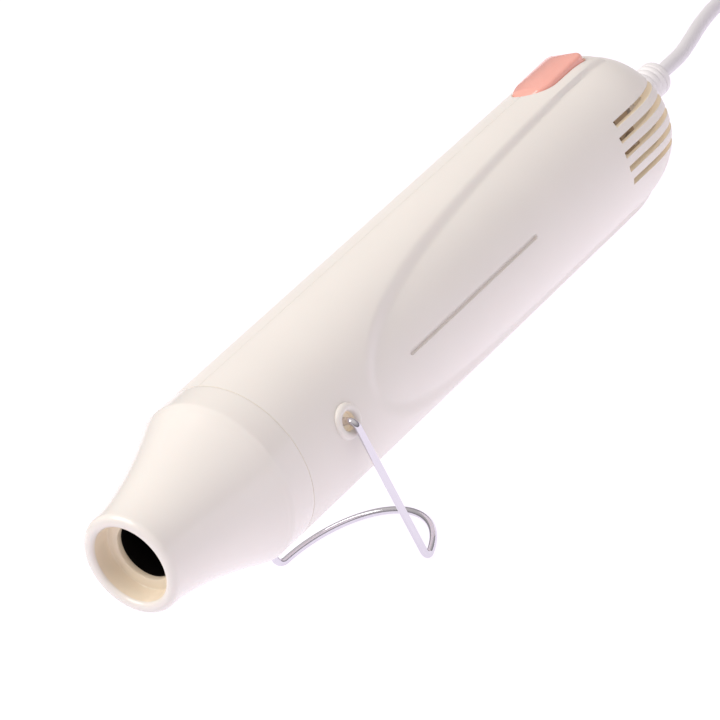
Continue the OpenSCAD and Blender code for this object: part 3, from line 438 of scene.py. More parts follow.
def half_shell(name, side):
    """One half of the housing as a closed shell: its section at each angle goes round the wall."""
    outer = skin_stations()
    inner = [(CORD_HOLE_R, HOUSING_LEN), (CORD_HOLE_R, CAVITY_END)] + cavity_profile()
    angles = skin_angles()
    points = []
    for a in angles:
        cos_a = side * abs(math.cos(math.radians(a))) if abs(a) < 90 else 0
        sin_a = math.sin(math.radians(a))
        section = [(skin_radius(x, a), x) for x in outer] + inner
        points += [(x, r * cos_a, r * sin_a) for r, x in section]
    columns = len(outer) + len(inner)
    faces = grid_faces(len(angles), columns, closed_columns=True)
    faces.append(tuple(range(columns)))
    faces.append(tuple((len(angles) - 1) * columns + j for j in range(columns)))
    piece = mesh_piece(name, points, faces)
    triangulate_caps(piece)
    return piece


def triangulate_caps(piece):
    bm = bmesh.new()
    bm.from_mesh(piece.data)
    big = [face for face in bm.faces if len(face.verts) > 4]
    bmesh.ops.triangulate(bm, faces=big)
    bm.to_mesh(piece.data)
    bm.free()


def box_piece(name, low, high, place=parked):
    xs, ys, zs = zip(low, high)
    points = [(x, y, z) for x in xs for y in ys for z in zs]
    faces = [(0, 1, 3, 2), (4, 6, 7, 5), (0, 4, 5, 1), (2, 3, 7, 6), (0, 2, 6, 4), (1, 5, 7, 3)]
    return mesh_piece(name, points, faces, place)


# Vents

VENT_COUNT = 5
VENT_W = 1.65
VENT_PITCH = 3.9
VENT_Z = 0.1
VENT_LEN = 32
VENT_IN = 7.5
VENT_FOREMOST = 1.4
VENT_ARC = 0.4


def cut_vents(piece, side):
    for i in range(VENT_COUNT):
        z = VENT_Z + VENT_PITCH * (i - (VENT_COUNT - 1) / 2)
        ys = sorted((side * VENT_IN, side * PAST_SKIN))
        start = HOUSING_LEN - VENT_LEN + VENT_ARC * (i - VENT_FOREMOST) ** 2
        low = (start, ys[0], z - VENT_W / 2)
        high = (HOUSING_LEN + 1, ys[1], z + VENT_W / 2)
        cut(piece, box_piece("cutter", low, high))


# Switch

SWITCH_X = HOUSING_LEN - 25
ROCKER_LEN = 22
ROCKER_W = 12.6
ROCKER_H = 7
ROCKER_Z = BARREL_R - 5.7
ROCKER_TILT = math.radians(3)
ROCKER_NOSE = 7.4
ROCKER_TAIL_R = 2.0
ROCKER_REACH = 12.2
CROWN_R = 90
ACROSS_R = 22
TIP_DROP = 1.3
TIP_LEN = 3
EDGE_R = 0.8
CAP_BASE_Z = -0.5
CAP_SIDE_Z = 1.2
RIDGE_FROM = -6.0
RIDGE_TO = 7.5
OPENING_END_GAP = 0.45
OPENING_SIDE_GAP = 0.3


def rocker_plan(grow_x, grow_y, steps=24):
    """The rocker's outline seen from above, as (x, y) about its pivot."""
    half_l = ROCKER_LEN / 2 + grow_x
    half_w = ROCKER_W / 2 + grow_y
    nose = ROCKER_NOSE + grow_x
    tail = ROCKER_TAIL_R + grow_y
    outline = []
    for i in range(steps + 1):
        a = math.radians(90 + 180 * i / steps)
        outline.append((-half_l + nose + nose * math.cos(a), half_w * math.sin(a)))
    for centre_y, start in ((-half_w + tail, -90), (half_w - tail, 0)):
        for i in range(steps // 2 + 1):
            a = math.radians(start + 90 * i / (steps // 2))
            outline.append((half_l - tail + tail * math.cos(a), centre_y + tail * math.sin(a)))
    return outline


def cut_switch_opening(piece):
    outline = rocker_plan(OPENING_END_GAP, OPENING_SIDE_GAP)
    count = len(outline)
    points = [(SWITCH_X + x, y, z) for z in (ROCKER_Z, PAST_SKIN) for x, y in outline]
    faces = [tuple(range(count)), tuple(range(count, 2 * count))]
    faces += grid_faces(2, count, closed_columns=True)
    cut(piece, mesh_piece("cutter", points, faces))


# Stand pivot

PIVOT_X = 18.2
WIRE_R = 0.95
RING_H = 1
RING_R = 4.5
RING_MOUTH_R = 2.4
RING_ROOT = 2.0
RING_FLOOR = 1.2
HOLE_FROM_Y = 10
PIVOT_FIT = 0.06
LUG_INNER_Y = CAVITY_R - 1.6


def pivot_boss(name, side):
    """The ring round the stand's end, turned about the pivot's axis."""
    crest = (RING_R + RING_MOUTH_R) / 2
    edge = (RING_R - RING_MOUTH_R) / 2
    top = BARREL_R + RING_H
    profile = [(WIRE_R + PIVOT_FIT, LUG_INNER_Y), (RING_R, LUG_INNER_Y)]
    profile += [(RING_R, BARREL_R - RING_ROOT)]
    for i in range(13):
        a = math.radians(180 * i / 12)
        profile.append((crest + edge * math.cos(a), top - edge + edge * math.sin(a)))
    floor_y = BARREL_R - RING_FLOOR
    profile += [(RING_MOUTH_R, floor_y), (WIRE_R + PIVOT_FIT, floor_y)]
    points = []
    steps = 96
    for i in range(steps):
        a = 2 * math.pi * i / steps
        points += [(PIVOT_X + r * math.cos(a), side * y, r * math.sin(a)) for r, y in profile]
    return mesh_piece(name, points, grid_faces(steps, len(profile), True, True))


def cut_pivot_hole(piece, side):
    count = 64
    hole_r = (RING_R + RING_MOUTH_R) / 2 - 0.05
    points = []
    for y in (side * HOLE_FROM_Y, side * PAST_SKIN):
        for j in range(count):
            a = 2 * math.pi * j / count
            points.append((PIVOT_X + hole_r * math.cos(a), y, hole_r * math.sin(a)))
    faces = [tuple(range(count)), tuple(range(count, 2 * count))]
    faces += grid_faces(2, count, closed_columns=True)
    cut(piece, mesh_piece("cutter", points, faces))


def make_housing(name, side):
    shell = half_shell(name, side)
    cut_pivot_hole(shell, side)
    cut(shell, pivot_boss("boss", side), "UNION")
    cut_vents(shell, side)
    cut_switch_opening(shell)
    clean(shell, 32)
    # Faces inside the skin are marked for painted warm shade and a painted glow.
    mark_painted_shade(shell, inside_skin)
    return shell


# Nozzle

NOZZLE_LEN = 44
MOUTH_R = 13.55
MOUTH_BORE_R = 10.4
OUTLET_R = 7.7
BAND_LEN = 9
SHOULDER_R = 21.9
NOZZLE_WALL = 2.1
SPIGOT_LEN = 7
LIP_R = 1.8
LIP_IN_R = 1.1
FLARE_POWER = 1.65
LEDGE_SOFT = 0.7
FLARE_END_X = -BAND_LEN - 3.4
FLARE_END_R = SHOULDER_R - 1.1
MOUTH_DEPTH = 6.2
WEB_X = MOUTH_DEPTH - NOZZLE_LEN
WEB_T = 1.6
SPIGOT_R = CAVITY_R - 0.1
SPIGOT_T = 1.6
SPIGOT_EDGE = 0.6


def flare_radius(x):
    start = LIP_R - NOZZLE_LEN
    u = max(0, (x - start) / (FLARE_END_X - start))
    return MOUTH_R + (FLARE_END_R - MOUTH_R) * u**FLARE_POWER


def bezier(a, b, c, t):
    return tuple((1 - t) ** 2 * p + 2 * t * (1 - t) * q + t * t * r for p, q, r in zip(a, b, c))


def arc(centre, radius, start, end, steps):
    """Points (r, x) of an arc, its angle from +x towards +r, in degrees."""
    result = []
    for i in range(steps + 1):
        a = math.radians(mix(start, end, i / steps))
        result.append((centre[0] + radius * math.sin(a), centre[1] + radius * math.cos(a)))
    return result


def nozzle_profile():
    start = LIP_R - NOZZLE_LEN
    web_end = WEB_X + WEB_T
    inner_x = [mix(start, FLARE_END_X, i / 24) for i in range(25)]
    profile = [(MOUTH_BORE_R, LIP_IN_R - NOZZLE_LEN), (MOUTH_BORE_R, WEB_X - 0.4)]
    profile += [(MOUTH_BORE_R - 0.12, WEB_X - 0.12), (MOUTH_BORE_R - 0.4, WEB_X)]
    profile += [(OUTLET_R + 0.15, WEB_X), (OUTLET_R, WEB_X + 0.15), (OUTLET_R, web_end)]
    profile += [(flare_radius(web_end) - NOZZLE_WALL, web_end)]
    profile += [(flare_radius(x) - NOZZLE_WALL, x) for x in inner_x if x > web_end + 1]
    profile += [(SPIGOT_R - SPIGOT_T, -BAND_LEN), (SPIGOT_R - SPIGOT_T, SPIGOT_LEN)]
    profile += [(SPIGOT_R - SPIGOT_EDGE, SPIGOT_LEN), (SPIGOT_R, SPIGOT_LEN - 1), (SPIGOT_R, 0)]
    profile += [(BARREL_R - 0.18, 0), (BARREL_R - 0.05, -0.05), (BARREL_R, -0.2)]
    profile += [(BARREL_R, -0.2 - 0.55 * i) for i in range(1, 15)]
    profile += [(BARREL_R - 0.06, -BAND_LEN + LEDGE_SOFT)]
    profile += [(mix(SHOULDER_R, BARREL_R, 0.5), -BAND_LEN + 0.1)]
    band_edge = (SHOULDER_R, -BAND_LEN - LEDGE_SOFT)
    bend = (SHOULDER_R - 0.05, FLARE_END_X + 2.5)
    profile += [bezier(band_edge, bend, (FLARE_END_R, FLARE_END_X), i / 14) for i in range(15)]
    profile += [(flare_radius(x), x) for x in reversed(inner_x[1:-1])]
    profile += arc((MOUTH_R - LIP_R, start), LIP_R, 90, 180, 14)
    profile += arc((MOUTH_BORE_R + LIP_IN_R, LIP_IN_R - NOZZLE_LEN), LIP_IN_R, 180, 270, 10)[:-1]
    return profile


def inside_mouth(x, y, z):
    return math.hypot(y, z) < MOUTH_BORE_R + 0.05 and x > 1.2 - NOZZLE_LEN


def make_nozzle():
    piece = turned("nozzle_shell", nozzle_profile(), 256, sharp=50)
    # Faces in the mouth's bore are marked for painted warm shade and a painted glow.
    mark_painted_shade(piece, inside_mouth)
    return piece


# Rocker

def rocker_top(x, y):
    sag = ACROSS_R - math.sqrt(ACROSS_R**2 - y**2)
    crown = ROCKER_H - CROWN_R + math.sqrt((CROWN_R - sag) ** 2 - x**2)
    return crown - TIP_DROP * (1 - soft_step((x + ROCKER_LEN / 2) / TIP_LEN))


def rocker_rings():
    """Rings of points from the underside, up the sides, over the soft edge to the middle."""
    base = rocker_plan(0, 0, 48)
    rings = [[(x, y, z) for x, y in base] for z in (CAP_BASE_Z, CAP_SIDE_Z)]
    for k in range(9):
        a = math.radians(90 * k / 8)
        inset = EDGE_R * (1 - math.cos(a))
        ring = []
        for x, y in rocker_plan(-inset, -inset, 48):
            height = rocker_top(x, y) - EDGE_R * (1 - math.sin(a))
            ring.append((x, y, height))
        rings.append(ring)
    last = rings[-1]
    for k in range(1, 13):
        t = 1 - k / 12
        ring = []
        for x, y, z in last:
            near = max(RIDGE_FROM, min(RIDGE_TO, x))
            px = near + (x - near) * t
            ring.append((px, y * t, rocker_top(px, y * t)))
        rings.append(ring)
    return rings


def rocker_place(p):
    x, y, z = p
    reach = math.hypot(x, z)
    if reach > ROCKER_REACH:
        x *= ROCKER_REACH / reach
        z *= ROCKER_REACH / reach
    turned_x = x * math.cos(ROCKER_TILT) - z * math.sin(ROCKER_TILT)
    turned_z = z * math.cos(ROCKER_TILT) + x * math.sin(ROCKER_TILT)
    return parked((SWITCH_X + turned_x, y, ROCKER_Z + turned_z))


def make_rocker():
    rings = rocker_rings()
    count = len(rings[0])
    points = [p for ring in rings for p in ring]
    faces = grid_faces(len(rings), count, closed_columns=True)
    faces.append(tuple(range(count)))
    return mesh_piece("rocker_cap", points, faces, rocker_place, 60)


# Wire stand

LEG_Y = 24.65
LEG_LEN = 40.8792
BEND_R = 2.2
BOW_ANGLE = math.radians(17.5)
BOW_TILT = math.radians(3.7)
LEG_LEAN = math.radians(4.2)
BOW_R = 25.1085
BOW_TIP = 19.7898
PIN_INNER_Y = CAVITY_R - 2.5


def stand_place(p):
    """From the stand's own frame, legs down Z and pivot at the origin."""
    x, y, z = p
    return parked((
        PIVOT_X + x * math.cos(LEG_LEAN) - z * math.sin(LEG_LEAN),
        y,
        z * math.cos(LEG_LEAN) + x * math.sin(LEG_LEAN),
    ))


def bow_point(angle):
    x = BOW_TIP - BOW_R + BOW_R * math.cos(angle)
    y = BOW_R * math.sin(angle)
    return Vector((x * math.cos(BOW_TILT), y, x * math.sin(BOW_TILT) - LEG_LEN))


def stand_path():
    bow_start = BOW_ANGLE - math.pi / 2
    leg = [(0, -PIN_INNER_Y, 0), (0, -LEG_Y, 0), (0, -LEG_Y, -LEG_LEN), bow_point(bow_start)]
    left = rounded(leg, [BEND_R, BEND_R], 12)
    bow = [bow_point(mix(bow_start, -bow_start, i / 72)) for i in range(1, 72)]
    right = [Vector((p[0], -p[1], p[2])) for p in reversed(left)]
    path = left + bow + right
    kept = [path[0]]
    for p in path[1:]:
        if (Vector(p) - Vector(kept[-1])).length > 0.02:
            kept.append(p)
    return kept


def make_stand():
    return tube("stand_wire", stand_path(), WIRE_R, 32, stand_place)


# Strain relief

RELIEF_R = 4.8
RELIEF_NECK_R = 3.6
RIB_COUNT = 4
RIB_PITCH = 2.1
RIB_D = 0.42
RIB_PHASE = 0.55
FIRST_RIB_X = RELIEF_END - 4.4 - RIB_PITCH * (RIB_COUNT - 1)
FLANGE_R = RELIEF_R + 0.4
FLANGE_FRONT = CAVITY_END - 2.3
FLANGE_REAR = CAVITY_END - 0.1
ROOT_DROP = 0.5
ROOT_LEN = 1.2
END_ROUND = 2.0
LEAD_BORE_R = CORD_R + 0.05


def relief_profile():
    profile = [(LEAD_BORE_R, FLANGE_FRONT), (FLANGE_R, FLANGE_FRONT)]
    profile += [(FLANGE_R, FLANGE_REAR), (RELIEF_NECK_R, FLANGE_REAR)]
    profile += [(RELIEF_NECK_R, HOUSING_LEN + 0.1), (RELIEF_R - ROOT_DROP, HOUSING_LEN + 0.1)]
    count = 90
    for i in range(count + 1):
        x = HOUSING_LEN + 0.15 + (RELIEF_LEN - 2.2) * i / count
        rib = 0.0
        if FIRST_RIB_X - 1.6 < x < RELIEF_END - 3.0:
            phase = 2 * math.pi * (x - FIRST_RIB_X + RIB_PHASE) / RIB_PITCH
            rib = RIB_D * (0.5 + 0.5 * math.cos(phase)) ** 2
        drop = ROOT_DROP * (1 - soft_step((x - HOUSING_LEN) / ROOT_LEN))
        profile.append((RELIEF_R - rib - drop, x))
    profile += arc((RELIEF_R - END_ROUND, RELIEF_END - 2.05), END_ROUND, 88, 0, 14)
    profile += [(LEAD_BORE_R, RELIEF_END - 0.02)]
    return profile


def make_relief():
    return turned("relief_boot", relief_profile(), 96, sharp=50)


# Plug

PLUG_EDGE = 1.6
PLUG_RIB_D = 0.45
PLUG_RIB_PITCH = 2.2
PLUG_RIBS = 4
PLUG_NECK_LEN = 10
PLUG_NECK_HALF_H = 3.2
PLUG_NECK_HALF_W = 3.4
PLUG_ROOT_HALF_W = 4.5
PLUG_ROUND = 1.0
PLUG_SQUARE = 0.42


def plug_place(p):
    return on_table(Vector(p) + PLUG_REAR)


def plug_half_width(x):
    if x < PLUG_NECK_LEN:
        return mix(PLUG_NECK_HALF_W, PLUG_ROOT_HALF_W, x / PLUG_NECK_LEN)
    t = soft_step((x - PLUG_NECK_LEN) / (PLUG_LEN - 18))
    return PLUG_ROOT_HALF_W + (PLUG_W / 2 - PLUG_ROOT_HALF_W) * t


def plug_half_height(x):
    return mix(PLUG_NECK_HALF_H, PLUG_H / 2, soft_step(x / 17))


def make_plug():
    """A flat moulded body, its sections super-ellipses, with a ribbed neck."""
    step = 0.25
    stations = [step * i for i in range(int(PLUG_LEN / step) + 1)]
    sides = 96
    points = []
    for x in stations:
        rear = 1 - 0.10 * soft_step((1.2 - x) / 1.2)
        front = min(0.0, PLUG_LEN - PLUG_EDGE - x)
        lip = PLUG_EDGE - math.sqrt(max(0.0, PLUG_EDGE**2 - front**2))
        rib = PLUG_RIB_D * (0.5 - 0.5 * math.cos(2 * math.pi * x / PLUG_RIB_PITCH))
        rib = rib if x < PLUG_RIBS * PLUG_RIB_PITCH else 0
        half_w = plug_half_width(x) * rear - lip - rib
        half_h = plug_half_height(x) * rear - lip - rib
        power = mix(PLUG_ROUND, PLUG_SQUARE, soft_step((x - 4) / 12))
        for j in range(sides):
            a = 2 * math.pi * (j + 0.5) / sides
            c, s = math.cos(a), math.sin(a)
            y = half_w * math.copysign(abs(c) ** power, c)
            z = half_h * math.copysign(abs(s) ** power, s)
            points.append((-x, y, z))
    faces = grid_faces(len(stations), sides, closed_columns=True)
    faces.append(tuple(range(sides)))
    faces.append(tuple((len(stations) - 1) * sides + j for j in range(sides)))
    piece = mesh_piece("plug_shell", points, faces, plug_place, 50)
    triangulate_caps(piece)
    return piece


# Materials

def new_material(name):
    material = bpy.data.materials.new(name)
    material.use_nodes = True
    nodes = material.node_tree.nodes
    return material, nodes, material.node_tree.links, nodes["Principled BSDF"]


def noise_node(nodes, links, scale, detail=3.0):
    place = nodes.new("ShaderNodeTexCoord")
    noise = nodes.new("ShaderNodeTexNoise")
    noise.inputs["Scale"].default_value = scale
    noise.inputs["Detail"].default_value = detail
    links.new(place.outputs["Object"], noise.inputs["Vector"])
    return noise


def ramp(nodes, links, source, low, high, start=0.3, end=0.7):
    node = nodes.new("ShaderNodeValToRGB")
    node.color_ramp.elements[0].position = start
    node.color_ramp.elements[1].position = end
    node.color_ramp.elements[0].color = (*low, 1)
    node.color_ramp.elements[1].color = (*high, 1)
    links.new(source, node.inputs["Fac"])
    return node


def spread(nodes, links, source, low, high):
    node = nodes.new("ShaderNodeMapRange")
    node.inputs["To Min"].default_value = low
    node.inputs["To Max"].default_value = high
    links.new(source, node.inputs["Value"])
    return node


def bump_node(nodes, links, source, strength, distance, normal=None):
    node = nodes.new("ShaderNodeBump")
    node.inputs["Strength"].default_value = strength
    node.inputs["Distance"].default_value = distance
    links.new(source, node.inputs["Height"])
    if normal:
        links.new(normal, node.inputs["Normal"])
    return node


def edge_round(nodes, radius):
    node = nodes.new("ShaderNodeBevel")
    node.samples = 4
    node.inputs["Radius"].default_value = radius
    return node


def paint_inner_shade_and_glow(nodes, links, shader, colour, tan, painted_glow):
    """Faces marked as inner turn tan, a painted warm shade of the hollows, and get a painted glow
    in the same tan for the light bounced inside them.
    """
    mark = nodes.new("ShaderNodeAttribute")
    mark.attribute_name = "inner"
    mixed = nodes.new("ShaderNodeMix")
    mixed.data_type = "RGBA"
    mixed.inputs["B"].default_value = (*tan, 1)
    links.new(mark.outputs["Fac"], mixed.inputs["Factor"])
    links.new(colour, mixed.inputs["A"])
    links.new(mixed.outputs["Result"], shader.inputs["Base Color"])
    strength = spread(nodes, links, mark.outputs["Fac"], 0, painted_glow)
    links.new(strength.outputs["Result"], shader.inputs["Emission Strength"])
    shader.inputs["Emission Color"].default_value = (*tan, 1)


def plastic(
    name, colour, rough=0.35, coat=0.0, grain=0.15, change=0.02,
    soften=0.0, glow=0.0, tan=None, painted_glow=0.0,
):
    """Moulded plastic: a faint cloud in its colour, a fine grain and uneven gloss."""
    material, nodes, links, shader = new_material(name)
    cloud = noise_node(nodes, links, 45)
    fine = noise_node(nodes, links, 4200, 2)
    low = tuple(c * (1 - change) for c in colour)
    high = tuple(min(1, c * (1 + change)) for c in colour)
    clouded = ramp(nodes, links, cloud.outputs["Fac"], low, high).outputs["Color"]
    # The tan is painted warm shade and the glow strength a painted glow, both on the faces marked
    # as inner.
    if tan:
        paint_inner_shade_and_glow(nodes, links, shader, clouded, tan, painted_glow)
    else:
        links.new(clouded, shader.inputs["Base Color"])
    gloss = spread(nodes, links, cloud.outputs["Fac"], rough - 0.03, rough + 0.03)
    links.new(gloss.outputs["Result"], shader.inputs["Roughness"])
    normal = edge_round(nodes, soften).outputs["Normal"] if soften else None
    bump = bump_node(nodes, links, fine.outputs["Fac"], grain, 0.00002, normal)
    links.new(bump.outputs["Normal"], shader.inputs["Normal"])
    shader.inputs["Coat Weight"].default_value = coat
    shader.inputs["Coat Roughness"].default_value = 0.08
    if glow:
        shader.inputs["Subsurface Weight"].default_value = glow
        shader.inputs["Subsurface Radius"].default_value = (0.004, 0.0025, 0.002)
        shader.inputs["Subsurface Scale"].default_value = 0.6
    return material


def metal(name, colour, rough=0.2, streak=(1, 1, 1), change=0.08):
    """Metal with fine streaks from its drawing or rolling."""
    material, nodes, links, shader = new_material(name)
    place = nodes.new("ShaderNodeTexCoord")
    stretch = nodes.new("ShaderNodeMapping")
    stretch.inputs["Scale"].default_value = streak
    noise = nodes.new("ShaderNodeTexNoise")
    noise.inputs["Scale"].default_value = 900
    links.new(place.outputs["Object"], stretch.inputs["Vector"])
    links.new(stretch.outputs["Vector"], noise.inputs["Vector"])
    low = tuple(c * (1 - change) for c in colour)
    shade = ramp(nodes, links, noise.outputs["Fac"], low, colour)
    links.new(shade.outputs["Color"], shader.inputs["Base Color"])
    gloss = spread(nodes, links, noise.outputs["Fac"], rough * 0.7, rough * 1.3)
    links.new(gloss.outputs["Result"], shader.inputs["Roughness"])
    bump = bump_node(nodes, links, noise.outputs["Fac"], 0.08, 0.00002)
    links.new(bump.outputs["Normal"], shader.inputs["Normal"])
    shader.inputs["Metallic"].default_value = 1.0
    return material


def mica():
    """Pressed mica sheet: overlapping flakes."""
    material, nodes, links, shader = new_material("mica")
    place = nodes.new("ShaderNodeTexCoord")
    cells = nodes.new("ShaderNodeTexVoronoi")
    cells.inputs["Scale"].default_value = 380
    links.new(place.outputs["Object"], cells.inputs["Vector"])
    colours = ramp(
        nodes, links, cells.outputs["Distance"], (0.38, 0.32, 0.2), (0.56, 0.5, 0.36), 0, 0.8,
    )
    links.new(colours.outputs["Color"], shader.inputs["Base Color"])
    bump = bump_node(nodes, links, cells.outputs["Distance"], 0.2, 0.0001)
    links.new(bump.outputs["Normal"], shader.inputs["Normal"])
    shader.inputs["Roughness"].default_value = 0.3
    return material


def winding():
    """Varnished copper wire, side by side along the armature."""
    material, nodes, links, shader = new_material("copper_winding")
    place = nodes.new("ShaderNodeTexCoord")
    wave = nodes.new("ShaderNodeTexWave")
    wave.inputs["Scale"].default_value = 900
    wave.inputs["Distortion"].default_value = 1.5
    links.new(place.outputs["Object"], wave.inputs["Vector"])
    colours = ramp(
        nodes, links, wave.outputs["Fac"], (0.22, 0.07, 0.03), (0.7, 0.3, 0.12), 0.1, 0.8,
    )
    links.new(colours.outputs["Color"], shader.inputs["Base Color"])
    bump = bump_node(nodes, links, wave.outputs["Fac"], 0.4, 0.0001)
    links.new(bump.outputs["Normal"], shader.inputs["Normal"])
    shader.inputs["Roughness"].default_value = 0.3
    shader.inputs["Metallic"].default_value = 0.6
    return material


def board():
    """Glass fibre board with a faint weave."""
    material, nodes, links, shader = new_material("board")
    place = nodes.new("ShaderNodeTexCoord")
    checks = nodes.new("ShaderNodeTexChecker")
    checks.inputs["Scale"].default_value = 2200
    checks.inputs["Color1"].default_value = (0.10, 0.22, 0.09, 1)
    checks.inputs["Color2"].default_value = (0.13, 0.27, 0.11, 1)
    links.new(place.outputs["Object"], checks.inputs["Vector"])
    links.new(checks.outputs["Color"], shader.inputs["Base Color"])
    shader.inputs["Roughness"].default_value = 0.4
    return material


MATERIALS = {
    # The tan given to housing and nozzle is painted warm shade on their inner faces, and the
    # number after it the strength of a painted glow there.
    "housing_plastic": plastic(
        "housing_plastic", (0.855, 0.81, 0.77), 0.42, 0.0, 0.12, 0.01,
        soften=0.00025, glow=0.06, tan=(0.80, 0.70, 0.56), painted_glow=0.2,
    ),
    "nozzle_plastic": plastic(
        "nozzle_plastic", (0.85, 0.805, 0.765), 0.24, 0.3, 0.05, 0.01,
        soften=0.0002, glow=0.06, tan=(0.84, 0.73, 0.58), painted_glow=0.05,
    ),
    "switch_plastic": plastic(
        "switch_plastic", (0.93, 0.43, 0.36), 0.22, 0.5, 0.06, 0.03, glow=0.1,
    ),
    "cord_boot": plastic("cord_boot", (0.88, 0.855, 0.87), 0.5, 0.0, 0.15, 0.01),
    "cord_sheath": plastic("cord_sheath", (0.79, 0.765, 0.80), 0.42, 0.0, 0.12, 0.01),
    "plug_plastic": plastic("plug_plastic", (0.79, 0.77, 0.80), 0.4, 0.0, 0.12, 0.01),
    "sleeve_plastic": plastic("sleeve_plastic", (0.75, 0.74, 0.76), 0.4),
    "inner_plastic": plastic("inner_plastic", (0.55, 0.44, 0.34), 0.5),
    "fan_plastic": plastic("fan_plastic", (0.05, 0.045, 0.045), 0.45),
    "black_plastic": plastic("black_plastic", (0.03, 0.028, 0.03), 0.4),
    "white_nylon": plastic("white_nylon", (0.72, 0.70, 0.66), 0.4),
    "ceramic": plastic("ceramic", (0.62, 0.56, 0.47), 0.6, 0.0, 0.4, 0.05),
    "capacitor_film": plastic("capacitor_film", (0.6, 0.28, 0.06), 0.3, 0.3),
    "lead_brown": plastic("lead_brown", (0.2, 0.08, 0.03), 0.4),
    "lead_red": plastic("lead_red", (0.5, 0.03, 0.02), 0.4),
    "lead_blue": plastic("lead_blue", (0.03, 0.1, 0.4), 0.4),
    "lead_yellow": plastic("lead_yellow", (0.7, 0.55, 0.08), 0.4),
    "magnet": plastic("magnet", (0.05, 0.05, 0.055), 0.6, 0.0, 0.5),
    "chrome_wire": metal("chrome_wire", (0.72, 0.70, 0.76), 0.07, (1, 1, 0.1), 0.03),
    "dark_steel": metal("dark_steel", (0.05, 0.045, 0.045), 0.45),
    "heater_steel": metal("heater_steel", (0.42, 0.40, 0.39), 0.35, (0.1, 1, 1)),
    "heater_wire": metal("heater_wire", (0.3, 0.28, 0.26), 0.4),
    "bright_steel": metal("bright_steel", (0.66, 0.66, 0.68), 0.25, (0.1, 1, 1)),
    "screw_steel": metal("screw_steel", (0.6, 0.6, 0.62), 0.25),
    "brass_tabs": metal("brass_tabs", (0.75, 0.6, 0.28), 0.25),
    "pin_metal": metal("pin_metal", (0.80, 0.78, 0.72), 0.16, (0.1, 1, 1)),
    "mica": mica(),
    "copper_winding": winding(),
    "board": board(),
}


def dress_frame():
    """Every node of the frame takes its material."""
    for name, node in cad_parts.items():
        node.data.materials.clear()
        node.data.materials.append(MATERIALS[NODE_SLOTS[name]])


NODE_SLOTS = {
    "housing_left": "housing_plastic", "housing_right": "housing_plastic",
    "nozzle": "nozzle_plastic", "outlet_cone": "dark_steel", "heater_shield": "heater_steel",
    "mica_sleeve": "mica", "mica_plate_flat": "mica", "mica_plate_upright": "mica",
    "heating_coil": "heater_wire", "front_insulator": "ceramic", "rear_insulator": "ceramic",
    "heater_terminals": "brass_tabs", "thermostat": "bright_steel", "thermal_fuse": "ceramic",
    "fan": "fan_plastic", "motor_shaft": "bright_steel", "motor_armature": "copper_winding",
    "motor_magnets": "magnet", "motor_can": "bright_steel", "motor_end_cap": "white_nylon",
    "motor_terminals": "brass_tabs", "motor_holder": "inner_plastic",
    "rectifier_board": "board", "diodes": "black_plastic", "capacitor": "capacitor_film",
    "switch_body": "black_plastic", "switch_contacts": "brass_tabs",
    "switch_rocker": "switch_plastic", "wire_stand": "chrome_wire",
    "strain_relief": "cord_boot", "cord_inner": "cord_sheath", "cord_clamp": "inner_plastic",
    "clamp_screws": "screw_steel", "housing_screws": "screw_steel", "lead_live": "lead_brown",
    "lead_switched": "lead_red", "lead_neutral": "lead_blue", "leads_motor": "lead_yellow",
    "cord": "cord_sheath", "cord_coil": "cord_sheath", "cord_tail": "cord_sheath",
    "plug_body": "plug_plastic", "plug_pins": "pin_metal", "pin_sleeves": "sleeve_plastic",
}


def fit(piece, body, slot, *nodes):
    piece.data.materials.clear()
    piece.data.materials.append(MATERIALS[slot])
    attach(piece, body)
    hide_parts(*nodes)
    return piece


# Floor and light

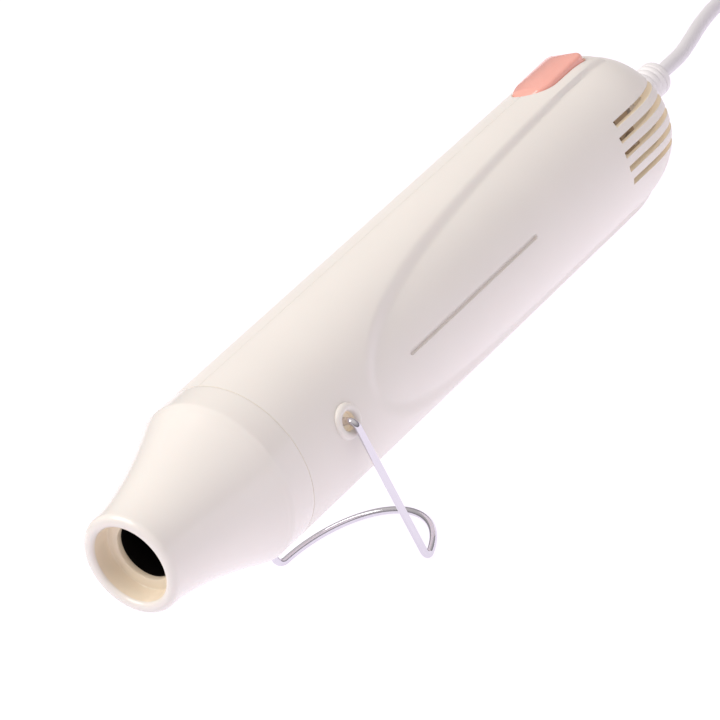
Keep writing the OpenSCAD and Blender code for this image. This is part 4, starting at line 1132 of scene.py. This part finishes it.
def make_floor():
    mesh = bpy.data.meshes.new("floor")
    mesh.from_pydata([(-6, -6, 0), (6, -6, 0), (6, 6, 0), (-6, 6, 0)], [], [(0, 1, 2, 3)])
    floor = bpy.data.objects.new("floor", mesh)
    bpy.context.scene.collection.objects.link(floor)
    material, _, _, shader = new_material("floor")
    shader.inputs["Base Color"].default_value = (0.15, 0.15, 0.15, 1)
    shader.inputs["Roughness"].default_value = 0.9
    shader.inputs["Specular IOR Level"].default_value = 0.1
    shader.inputs["Emission Color"].default_value = (0.97, 0.91, 1, 1)
    shader.inputs["Emission Strength"].default_value = 1.0
    mesh.materials.append(material)


def area_light(name, place, aim, size, power, colour=(1, 1, 1)):
    data = bpy.data.lights.new(name, "AREA")
    data.shape = "RECTANGLE"
    data.size, data.size_y = size
    data.energy = power
    data.color = colour
    light = bpy.data.objects.new(name, data)
    light.location = place
    light.rotation_mode = "QUATERNION"
    light.rotation_quaternion = (Vector(aim) - Vector(place)).to_track_quat("-Z", "Y")
    bpy.context.scene.collection.objects.link(light)


def make_world():
    """Even studio surroundings: pale above, darker towards the horizon."""
    world = bpy.data.worlds.new("world")
    world.use_nodes = True
    bpy.context.scene.world = world
    nodes = world.node_tree.nodes
    links = world.node_tree.links
    place = nodes.new("ShaderNodeTexCoord")
    split = nodes.new("ShaderNodeSeparateXYZ")
    links.new(place.outputs["Generated"], split.inputs["Vector"])
    shades = ramp(
        nodes, links, split.outputs["Z"], (0.22, 0.21, 0.225), (0.74, 0.71, 0.68), 0.05, 0.75,
    )
    links.new(shades.outputs["Color"], nodes["Background"].inputs["Color"])


def make_light():
    make_world()
    area_light("key", (-0.4, 0.25, 1.15), (0, 0, 0.03), (0.8, 0.8), 9.6, (1.0, 0.975, 0.95))


# The scene

lead, lead_path = make_lead()
plug = make_plug()
fit(lead, "tool", "cord_sheath", "cord", "cord_coil", "cord_tail")
fit(plug, "tool", "plug_plastic", "plug_body")
fit(make_housing("shell_left", -1), "tool", "housing_plastic", "housing_left")
fit(make_housing("shell_right", 1), "tool", "housing_plastic", "housing_right")
fit(make_nozzle(), "tool", "nozzle_plastic", "nozzle")
fit(make_relief(), "tool", "cord_boot", "strain_relief")
fit(make_rocker(), "rocker", "switch_plastic", "switch_rocker")
fit(make_stand(), "stand", "chrome_wire", "wire_stand")
dress_frame()
make_floor()
make_light()

bpy.context.scene.view_settings.view_transform = "Standard"
